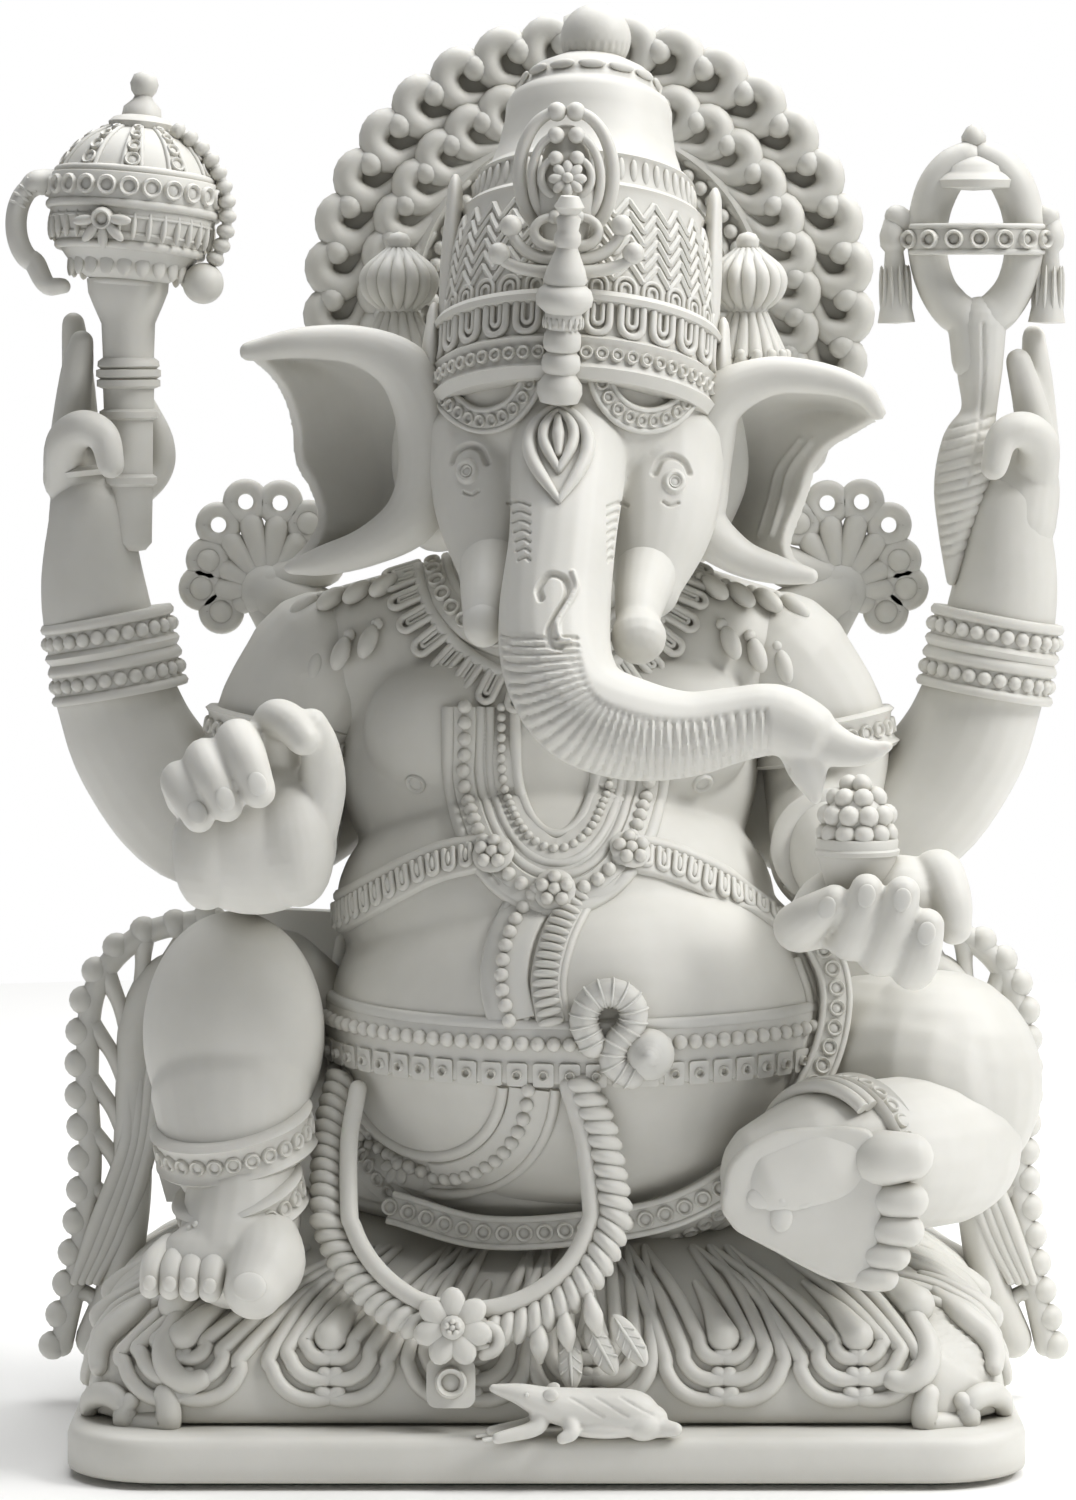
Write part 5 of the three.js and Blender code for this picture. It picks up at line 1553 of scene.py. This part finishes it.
class IDOL_OT_mace(bpy.types.Operator):
    """Round-headed mace with beaded bands, ribbon and bead string, and the hand round its handle"""
    bl_idname = "idol.mace"
    bl_label = "Mace"

    def execute(self, context):
        grain = context.scene.idol_sizes.grain
        handle = lathe((-66.8, 4, 0), [
            (0, 139.4), (2.6, 139.8), (3.6, 141), (3.8, 150), (4.5, 150.5), (4.5, 151.5), (3.8, 152),
            (3.9, 160.6),
            (4.7, 161), (4.7, 162), (4.0, 162.4), (4.1, 165.6), (5.1, 166), (5.1, 167), (4.5, 167.2),
            (5.2, 167.6),
            (5.2, 168.6), (4.5, 168.8), (5.0, 169.2), (4.9, 170), (4.1, 170.6), (4.3, 176), (5.6, 179),
            (6.4, 181), (6.6, 183.2), (0, 184),
        ], sides=40)
        piece("mace_handle", handle, ["mace_handle"], (-66.8, 4, 160.4))

        hub, size = np.array((-65.8, 4.0, 194.5)), 13.3
        globe = Axis(hub, LEAN)
        forms = [ball(hub, size, turn=LEAN, rows=36)]

        def level(height):
            return globe.ring(math.sqrt(size ** 2 - height ** 2), height)
        for height in (-12.2, -6.9, -0.6, 4.8):
            forms.append(cord_on(level(height), 0.75))
        forms.append(strap(level(2.1), band(4.6, 0.5)))
        forms.append(row(level(2.1), ring_boss(1.6, 0.8, 0.5, sides=16), 3.6, lift=0.4))
        forms.append(row(level(-3.8), ball((0, 0, 0), (0.5, 2.5, 0.7), rows=8), 2.4))
        forms += [cord_on(level(h), 0.28, sides=6) for h in (-5.2, -2.6)]
        forms.append(row(level(-9.6), ball((0, 0, 0), (1.2, 2.2, 0.6), rows=8), 2.9))
        for k in range(10):  # the dome's rib pairs, with a column of set discs between them
            for shift in (-8.0, 8.0):
                heights = np.linspace(5.2, 12.6, 12)
                radii = np.sqrt(size ** 2 - heights ** 2)
                angles = 36 * k + shift * (1 - 0.02 * heights)
                forms.append(cord_on(globe.rail(radii, heights, angles), 0.42, sides=8))
            for height, disc in zip((6.4, 8.7, 10.6, 12.0), (1.3, 1.15, 1.0, 0.75)):
                radius = math.sqrt(size ** 2 - height ** 2)
                spot = globe.at(radius, 36 * k, height)
                forms.append(set_on(ring_boss(disc, 0.6, 0.4, sides=12), spot, spot - hub))
        top = [(0, 12.2), (5.0, 12.4), (5.2, 13.4), (4.4, 14.2), (3.2, 14.6), (3.0, 16.0), (1.7, 17.2),
               (1.4, 17.8), (2.0, 18.6),
               (2.3, 19.8), (1.8, 21.2), (0, 22.0)]
        forms.append(globe.lathe(top, 32))
        fan = joined(ring_boss(1.7, 1.1, 0.6, sides=16), *[
            ball((2.9 * math.sin(a), 2.9 * math.cos(a), 0.3), (0.85, 2.0, 0.7), turn=(0, 0, -math.degrees(a)),
                 rows=8)
            for a in np.radians([95, 137, 180, 223, 265])])
        spot = globe.at(13.0, -17, -3.2)
        forms.append(set_on(fan.quarter_turned(), spot + (0, -0.6, 0), (-0.25, -1, -0.15)))
        loop = [(-78, 3, 198.6), (-81, 3, 198.4)] + [(x, 3, z)
                                                     for x, z in arc(-80.5, 191.8, 4.0, 6.4, 120, 255, 10)] \
            + [(-79.6, 2, 182.2), (-77, 1.5, 182)]
        forms.append(limb(loop, [2.0, 2.1] + [1.7] * 10 + [1.5, 1.2], flat=1.7, out=(0, -1, 0), sides=14))
        pleats = free_rail([(p[0], p[1] - 2.4, p[2]) for p in loop[:5]], (0, -1, 0))
        forms.append(row(pleats, ball((0, 0, 0), (0.35, 1.5, 0.5), rows=6), 1.3))
        string = [(x, 1.5, z) for x, z in arc(-65.5, 193.6, 14.8, 14.6, 62, -30, 14)]
        forms.append(row(free_rail(string, (0, -1, 0)), ball((0, 0, 0), (1.2, 1.5, 1.5), rows=8), 2.3))
        forms += [wire(string, 0.8), ball((-54.6, 1.5, 182.4), 3.3, rows=14)]
        piece("mace_head", joined(*forms), ["mace_head"], (-67.4, 4, 197.4))

        hand = clay([
            limb([(-73.5, 5, 144), (-72.8, 7, 150), (-71.5, 9, 155)], [6.4, 6.4, 5.0]),
            finger([(-77, 5, 151), (-76.4, 0, 157), (-73.4, -3, 159.4), (-70.2, -4, 158), (-69, -4.5, 153.6)],
                   [3.7, 3.4, 3.0, 2.6, 2.2]),
            finger([(-76.4, 6, 155), (-76, 6, 162), (-75, 5, 169), (-74.3, 4.5, 173)], [3.6, 3.0, 2.6, 2.0]),
            finger([(-75, 10, 158), (-75.4, 10, 168), (-76, 9.5, 176)], [3.2, 2.6, 1.9]),
            limb([(-70, 10, 148), (-63.5, 11.5, 152), (-62.6, 11.5, 157), (-65, 11.5, 164)],
                 [4.6, 3.0, 2.6, 1.6]),
        ], grain * 0.8, 4)
        ring = Axis((-73.6, 5, 152.2), (-4, -6, 0))
        piece("right_rear_hand", joined(hand, ring.lathe([(5.6, -0.8), (6.4, 0), (5.6, 0.8)], 32)),
              ["right_rear_hand"], (-70.0, 3.6, 162.0))
        return {"FINISHED"}


class IDOL_OT_noose(bpy.types.Operator):
    """Looped noose with a finial, a studded band and two tassels, and the hand that holds it"""
    bl_idname = "idol.noose"
    bl_label = "Noose"

    def execute(self, context):
        grain = context.scene.idol_sizes.grain
        mid = 68.6
        forms = []
        for s in (-1, 1):
            bow = np.radians([30, 50, 70, 90, 110, 130, 150, 168])
            strand = [(mid + s * 0.9, 3, 170), (mid + s * 1.4, 3, 176)]
            strand += [(mid + s * 7.8 * math.sin(a), 3.5, 189.6 - 12.8 * math.cos(a)) for a in bow]
            radii = [2.9, 3.3, 3.3, 3.1, 3.1, 3.2, 3.3, 3.4, 3.2, 2.9]
            forms.append(limb(strand, radii, sides=16))
            cut = ball((0, 0, 0), (0.45, 2.9, 2.9), turn=(0, 0, s * 18), rows=8)
            forms.append(row(free_rail(strand[2:], (0, -1, 0)), cut, 1.55))
        tail = [(69.2, 3.5, 176), (69.3, 3.5, 168), (69.2, 3.5, 162), (67.6, 3, 157), (66.4, 3, 150),
                (65.6, 3.4, 143), (65, 3.6, 135)]
        fish = clay([limb(tail, [4.4, 3.6, 2.9, 4.3, 4.4, 2.9, 0.9])], grain * 0.6, 3)
        wrinkles = []
        skin = Surface(fish)
        for k in range(13):
            z = 160 - 1.7 * k
            wrinkles.append(laid(skin, [(61, z - 1.4), (66.5, z), (72, z + 1.4)], 0.4))
        seam = laid(skin, [(69.4, 176), (69.6, 168), (69, 160), (67, 150)], 0.5)
        fish = worked(fish, [r.points for r in wrinkles + [seam] if r], 0.5, -0.3)
        cap = lathe((mid - 0.4, 4, 198.6), [
            (0, -1.4), (6.6, -1.0), (6.9, 0.2), (6.2, 1.0), (5.4, 1.6), (5.2, 2.4), (3.2, 3.9),
            (1.4, 4.6), (1.2, 5.2), (1.9, 6.0), (2.0, 7.2), (1.2, 8.6), (0, 9.4),
        ], sides=36)
        forms += [fish, cap]
        for s in (-1, 1):
            forms.append(limb([(mid + s * 5, 4, 199.4), (mid + s * 8, 4, 197.4)], [1.6, 0.6]))
        piece("noose_loop", joined(*forms), ["noose_loop"], (67.5, 4, 171.5))

        turns = np.radians(np.linspace(-72, 72, 15))
        rail = free_rail([(mid + 10 * math.sin(a), 4 - 5.6 * math.cos(a), 189.4) for a in turns], (0, -1, 0))
        forms = [strap(rail, band(4.4, 1.4)), row(rail, ring_boss(1.5, 1.2, 0.5, sides=16), 3.9, lift=1.2),
                 *[cord_on(rail.stepped(0.6, edge, 1.2), 0.5) for edge in (-2, 2)]]
        back = free_rail([(mid + 9.6 * math.sin(a), 4 + 4.6 * math.cos(a), 189.4) for a in turns[::-1]],
                         (0, 1, 0))
        forms.append(strap(back, band(4.2, 1.0)))
        for s in (-1, 1):
            x = mid - 0.6 + s * 12
            forms.append(limb([(mid + s * 8, 4, 190), (x, 4, 193)], [1.8, 2.0]))
            tassel = Axis((x, 4, 176), (0, s * 2, 0))
            forms.append(tassel.lathe([(0, 0), (3.0, 0.2), (2.3, 4.0), (1.8, 8.4), (1.5, 11.5), (2.2, 12.4),
                                       (2.3, 14.2), (1.5, 16.6), (0, 17.6)], 28))
            forms.append(row(tassel.ring(2.2, 5), ball((0, 0, 0), (0.32, 4.4, 0.5), rows=8), 1.3))
        piece("noose_collar", joined(*forms), ["noose_collar"], (67.5, 4, 182.9))

        hand = clay([
            limb([(75.5, 5, 144), (76.4, 6, 150), (77, 7, 155)], [6.4, 6.2, 4.8]),
            finger([(78.6, 4, 152), (78.4, -1, 157), (75.6, -4, 159.2), (72.4, -5, 158), (71, -5.4, 153.4)],
                   [3.6, 3.3, 3.0, 2.6, 2.2]),
            finger([(79, 6, 154), (77.8, 5, 162), (75.6, 4, 170)], [3.4, 2.9, 2.1]),
            finger([(79.6, 9, 156), (79, 9, 166), (78.4, 8.5, 174)], [3.2, 2.7, 1.9]),
        ], grain * 0.8, 4)
        piece("left_rear_hand", hand, ["left_rear_hand"], (75.9, 1.8, 161.2))
        return {"FINISHED"}


# ---------- behind the figure ----------

class IDOL_OT_halo(bpy.types.Operator):
    """Round halo: a ribbed disc, a bead row, and two rows of curled leaves"""
    bl_idname = "idol.halo"
    bl_label = "Halo"

    def execute(self, context):
        hub = np.array((7.0, 22.0, 180.0))

        def spot(radius, degrees, back=0.0):
            """A place on the halo: degrees from straight up, towards the idol's left."""
            a = math.radians(degrees)
            return hub + (radius * math.sin(a), back, radius * math.cos(a))

        disc = lathe(hub, [
            (0, -2.4), (12, -2.6), (30, -2.4), (36.2, -1.4), (36.6, 0), (36.2, 1.3), (31.0, 1.6), (28.8, 3.2),
            (27.9, 3.4), (27.2, 2.4), (26.4, 1.5), (24.6, 1.5), (24.0, 2.6), (23.2, 2.8), (22.6, 1.6),
            (0, 1.4),
        ], turn=(90, 0, 0), sides=120)
        beads = [ball(spot(25.5, d, -2.4), 1.2, rows=8) for d in np.arange(0, 360, 360 / 56)]
        ribs = [wire([spot(12, d, -1.4), spot(22.4, d, -1.4)], [0.5, 1.0]) for d in np.arange(0, 360, 7.5)]
        piece("halo_disc", joined(disc, *beads, *ribs), ["halo_disc"], (7, 22, 180))
        count = context.scene.idol_sizes.halo_curls
        curled = curl((6.5, -4), 155, 6.5, 4.2, -250, tighten=0.5, steps=10)
        swell = np.interp(np.linspace(0, 1, len(curled)), [0, 0.3, 0.75, 1], [1.3, 2.5, 2.5, 2.0])
        leaves = []
        for base, share, back, shift in ((30.6, 0.86, -2.0, 0.5), (38.6, 0.96, -0.6, 0.0)):
            for degrees in (np.arange(count) + shift) * 360 / count:
                out = unit(spot(1, degrees) - hub)
                up = np.array([out[2], 0, -out[0]]) * (1 if degrees > 180 else -1)
                points = [spot(base, degrees, back) + share * (u * up + v * out) for u, v in curled]
                leaves += [wire(points, swell * share, sides=12),
                           ball(points[-1] - (0, 0.6, 0), 2.3 * share, rows=8)]
        plate = lathe(hub + (0, 1.6, 0), [(0, -0.8), (43.8, -0.8), (44.6, 0.2), (43.6, 1.1), (0, 1.1)],
                      turn=(90, 0, 0), sides=120)
        backs = [wire([spot(31, d, 2.6), spot(36, d + 3, 2.8), spot(41.5, d, 2.4)], [0.6, 1.2, 0.7])
                 for d in range(0, 360, 9)]
        piece("halo_rim", joined(plate, *leaves, *backs), ["halo_rim"], (7, 22, 180))
        return {"FINISHED"}


class IDOL_OT_shoulder_scrolls(bpy.types.Operator):
    """Lobed, pierced scrolls that open behind the shoulders"""
    bl_idname = "idol.shoulder_scrolls"
    bl_label = "Shoulder scrolls"

    def execute(self, context):
        y = 14
        for side, s, drawn in (("right", -1, (-46.6, 13.3, 137.2)), ("left", 1, (49.0, 13.2, 137.2))):
            name = "shoulder_scroll_" + side
            hub = np.array((drawn[0] - s * 1.5, drawn[2] - 4.2))

            def at(u, v, back=0.0):
                return (hub[0] + s * u, y + back, hub[1] + v)
            forms = [ball(at(0, 0, -1), (4.6, 3.2, 4.6)), limb([at(0, 0), at(-7, -5)], [4.5, 6]),
                     limb([at(0, 1), at(-9, 4)], [3.6, 3.4]), limb([at(0, -2), at(-4, -9)], [3.6, 4])]
            for degrees, reach, pierced in ((-24, 12, 0), (2, 14.5, 0), (27, 14.5, 0), (53, 17, 1),
                                            (76, 18.5, 1),
                                            (98, 18, 1), (121, 16.5, 0)):
                out = np.array((math.cos(math.radians(degrees)), math.sin(math.radians(degrees))))
                eye = out * (reach - 3.7)
                ring = [at(*(eye + 2.5 * np.array((math.cos(b), math.sin(b)))))
                        for b in np.linspace(0, 2 * math.pi, 15)]
                forms += [wire(ring, 1.25), limb([at(*(out * 2), -0.6), at(*(out * (reach - 7.4)))],
                                                 [1.9, 2.0])]
                if not pierced:
                    forms.append(ball(at(*eye), (2.2, 1.9, 2.2), rows=10))
            piece(name, joined(*forms), [name], drawn)
        return {"FINISHED"}


class IDOL_OT_screens(bpy.types.Operator):
    """The pierced screens behind the knees: a lobed rim, bars between openings, ribs below"""
    bl_idname = "idol.screens"
    bl_label = "Screens"

    def execute(self, context):
        y = 16
        for side, s, mid, drawn, pitch in (("right", -1, 0.0, (-46.6, 16, 43), 5.2),
                                           ("left", 1, 2.6, (53.6, 16, 43), 4.6)):
            name = "screen_" + side

            def at(x, z, back=0.0):
                return (mid + s * x, y + back, z)
            edge = [(54, 79.4), (66, 76.5), (73.5, 68), (75, 54), (74.6, 38), (76.5, 23), (79.5, 9)]
            inner = [(58, 72), (63.5, 69), (66.6, 62), (67.2, 52), (67.6, 42), (68, 32), (70, 20), (74, 10)]
            rim, spine = spline(edge, 1.0), spline(inner, 1.0)
            plate = [(9, 34), (9, 76), (20, 80), (44, 81), (56, 80), (60, 73), (64, 66), (65, 44), (62, 33),
                     (40, 33)]
            forms = [slab([(mid + s * x, z) for x, z in plate], y - 2, y + 2, standing=True),
                     wire([at(x, z) for x, z in rim], 1.9, sides=12),
                     wire([at(x, z) for x, z in spine], 3.2, sides=12)]
            lobes = spline(edge, pitch)
            forms += [ball(at(x + 1.4, z), (2.4, 2.4, 2.4), rows=8) for x, z in lobes]
            for share in np.linspace(0.08, 0.94, 9):  # bars that part the openings
                a = spine[int(share * (len(spine) - 1))]
                b = rim[min(int((share - 0.04) * (len(rim) - 1)), len(rim) - 1)]
                forms.append(wire([at(*a), at(*((a + b) / 2 + (0, 1.2))), at(*b)], [2.0, 1.3, 1.9]))
            for k in range(4):  # ribs that flow down over the lower half
                line = [(63 + 1.6 * k, 56 - 1.5 * k), (65 + 1.2 * k, 42), (69 + 1.5 * k, 29),
                        (73.5 + 1.2 * k, 20)]
                for back in (-2.0, 2.0):
                    forms.append(wire([at(x, z, back) for x, z in line], [1.0, 1.4, 1.4, 0.8]))
            for k in range(5):
                for back in (-2.0, 2.0):
                    line = [(14 + 9 * k, 36), (16 + 10 * k, 56), (15 + 9.2 * k, 76)]
                    forms.append(wire([at(x, z, back) for x, z in line], [0.9, 1.4, 0.9]))
            piece(name, joined(*forms), [name], drawn)
        return {"FINISHED"}


# ---------- stage ----------

class IDOL_OT_stage(bpy.types.Operator):
    """Pale floor, soft lights and the camera"""
    bl_idname = "idol.stage"
    bl_label = "Stage"

    def execute(self, context):
        scene = context.scene
        low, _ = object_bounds()
        target = Vector([along * MM for along in CAMERA_AIM])
        rise = math.radians(CAMERA_RISE)
        camera = bpy.data.cameras.new("camera")
        camera.lens = 135
        camera.sensor_width = 36
        camera.clip_end = 20
        eye = bpy.data.objects.new("camera", camera)
        eye.location = target + CAMERA_AWAY * Vector((0, -math.cos(rise), math.sin(rise)))
        eye.rotation_euler = (math.pi / 2 - rise, 0, 0)
        scene.collection.objects.link(eye)
        scene.camera = eye

        flat = TABLE_RADIUS - 10
        table = lathe((0, 0, 0), [(0, -6), (flat, -6), (TABLE_RADIUS, -3), (flat, 0), (0, 0)], sides=160)
        mesh = mesh_of(table.reshaped(table.verts * MM + (0, 0.1, low[2])), "floor")
        floor = bpy.data.objects.new("floor", mesh)
        scene.collection.objects.link(floor)
        paper = bpy.data.materials.new("white_card")
        paper.use_nodes = True
        shader = paper.node_tree.nodes["Principled BSDF"]
        shader.inputs["Base Color"].default_value = linear("#fbfbfa")
        shader.inputs["Roughness"].default_value = 0.9
        floor.data.materials.append(paper)
        floor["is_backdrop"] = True

        def softbox(name, at, aim, size, watts, colour="#ffffff"):
            light = bpy.data.lights.new(name, "AREA")
            light.shape = "RECTANGLE"
            light.size, light.size_y = size
            light.energy = watts
            light.color = linear(colour)[:3]
            lamp = bpy.data.objects.new(name, light)
            lamp.location = at
            lamp.rotation_euler = (Vector(aim) - Vector(at)).to_track_quat("-Z", "Y").to_euler()
            lamp.visible_camera = False
            scene.collection.objects.link(lamp)

        softbox("key_softbox", (0.8, -0.27, 0.85), (0, 0, 0.12), (0.4, 0.4), 8.2, "#fffefc")
        softbox("fill_softbox", (-0.8, -0.9, 0.4), (0, 0, 0.1), (0.9, 0.9), 0.25)
        softbox("top_softbox", (0.1, 0.3, 1.3), (0, 0.2, 0), (1.6, 1.2), 20.0)
        world = bpy.data.worlds.new("studio")
        world.use_nodes = True
        tree = world.node_tree
        tree.nodes.clear()
        seen = add_node(tree, "ShaderNodeLightPath")
        strength = add_node(tree, "ShaderNodeMapRange", {"Value": seen.outputs["Is Camera Ray"]},
                            To_Min=WORLD_GLOW, To_Max=1.0)
        sky = add_node(tree, "ShaderNodeBackground", {"Strength": strength.outputs["Result"]},
                       Color=(1, 1, 1, 1))
        add_node(tree, "ShaderNodeOutputWorld", {"Surface": sky.outputs["Background"]})
        scene.view_settings.view_transform = "Standard"
        scene.world = world
        return {"FINISHED"}


class IDOL_PT_panel(bpy.types.Panel):
    """Lists the idol's sizes, finishes and pieces"""
    bl_idname = "IDOL_PT_panel"
    bl_label = "Ganesha idol"
    bl_space_type = "VIEW_3D"
    bl_region_type = "UI"
    bl_category = "Idol"

    def draw(self, context):
        for group in (context.scene.idol_sizes, context.scene.idol_finishes):
            box = self.layout.box()
            for name in group.bl_rna.properties.keys():
                if name not in ("name", "rna_type"):
                    box.prop(group, name)
        for operator in OPERATORS:
            self.layout.operator(operator.bl_idname)


OPERATORS = (
    IDOL_OT_base, IDOL_OT_torso, IDOL_OT_legs, IDOL_OT_front_arms, IDOL_OT_rear_arms,
    IDOL_OT_head, IDOL_OT_ears, IDOL_OT_cushion, IDOL_OT_mouse, IDOL_OT_crown, IDOL_OT_plume, IDOL_OT_hair,
    IDOL_OT_collar, IDOL_OT_necklace, IDOL_OT_belt, IDOL_OT_hangings, IDOL_OT_garland, IDOL_OT_mace,
    IDOL_OT_noose, IDOL_OT_halo, IDOL_OT_shoulder_scrolls, IDOL_OT_screens, IDOL_OT_stage,
)
CLASSES = (IdolSizes, IdolFinishes, *OPERATORS, IDOL_PT_panel)


def register():
    for cls in CLASSES:
        bpy.utils.register_class(cls)
    bpy.types.Scene.idol_sizes = bpy.props.PointerProperty(type=IdolSizes)
    bpy.types.Scene.idol_finishes = bpy.props.PointerProperty(type=IdolFinishes)


def unregister():
    del bpy.types.Scene.idol_finishes
    del bpy.types.Scene.idol_sizes
    for cls in reversed(CLASSES):
        bpy.utils.unregister_class(cls)


def main():
    register()
    finishes = bpy.context.scene.idol_finishes
    cast_marble_resin(finishes)
    pressed_felt(finishes)
    for obj in frame["nodes"].values():
        obj.data.materials.clear()
        obj.data.materials.append(bpy.data.materials[FINISHES["marble_resin"]])
    for operator in OPERATORS:
        group, name = operator.bl_idname.split(".")
        if getattr(getattr(bpy.ops, group), name)() != {"FINISHED"}:
            raise RuntimeError(f"{operator.bl_label} didn't finish")
    boxes = {"cad": CAD_BOX, "visual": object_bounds()}
    {key: [list(corner) for corner in box] for key, box in boxes.items()}


if __name__ == "__main__":
    main()
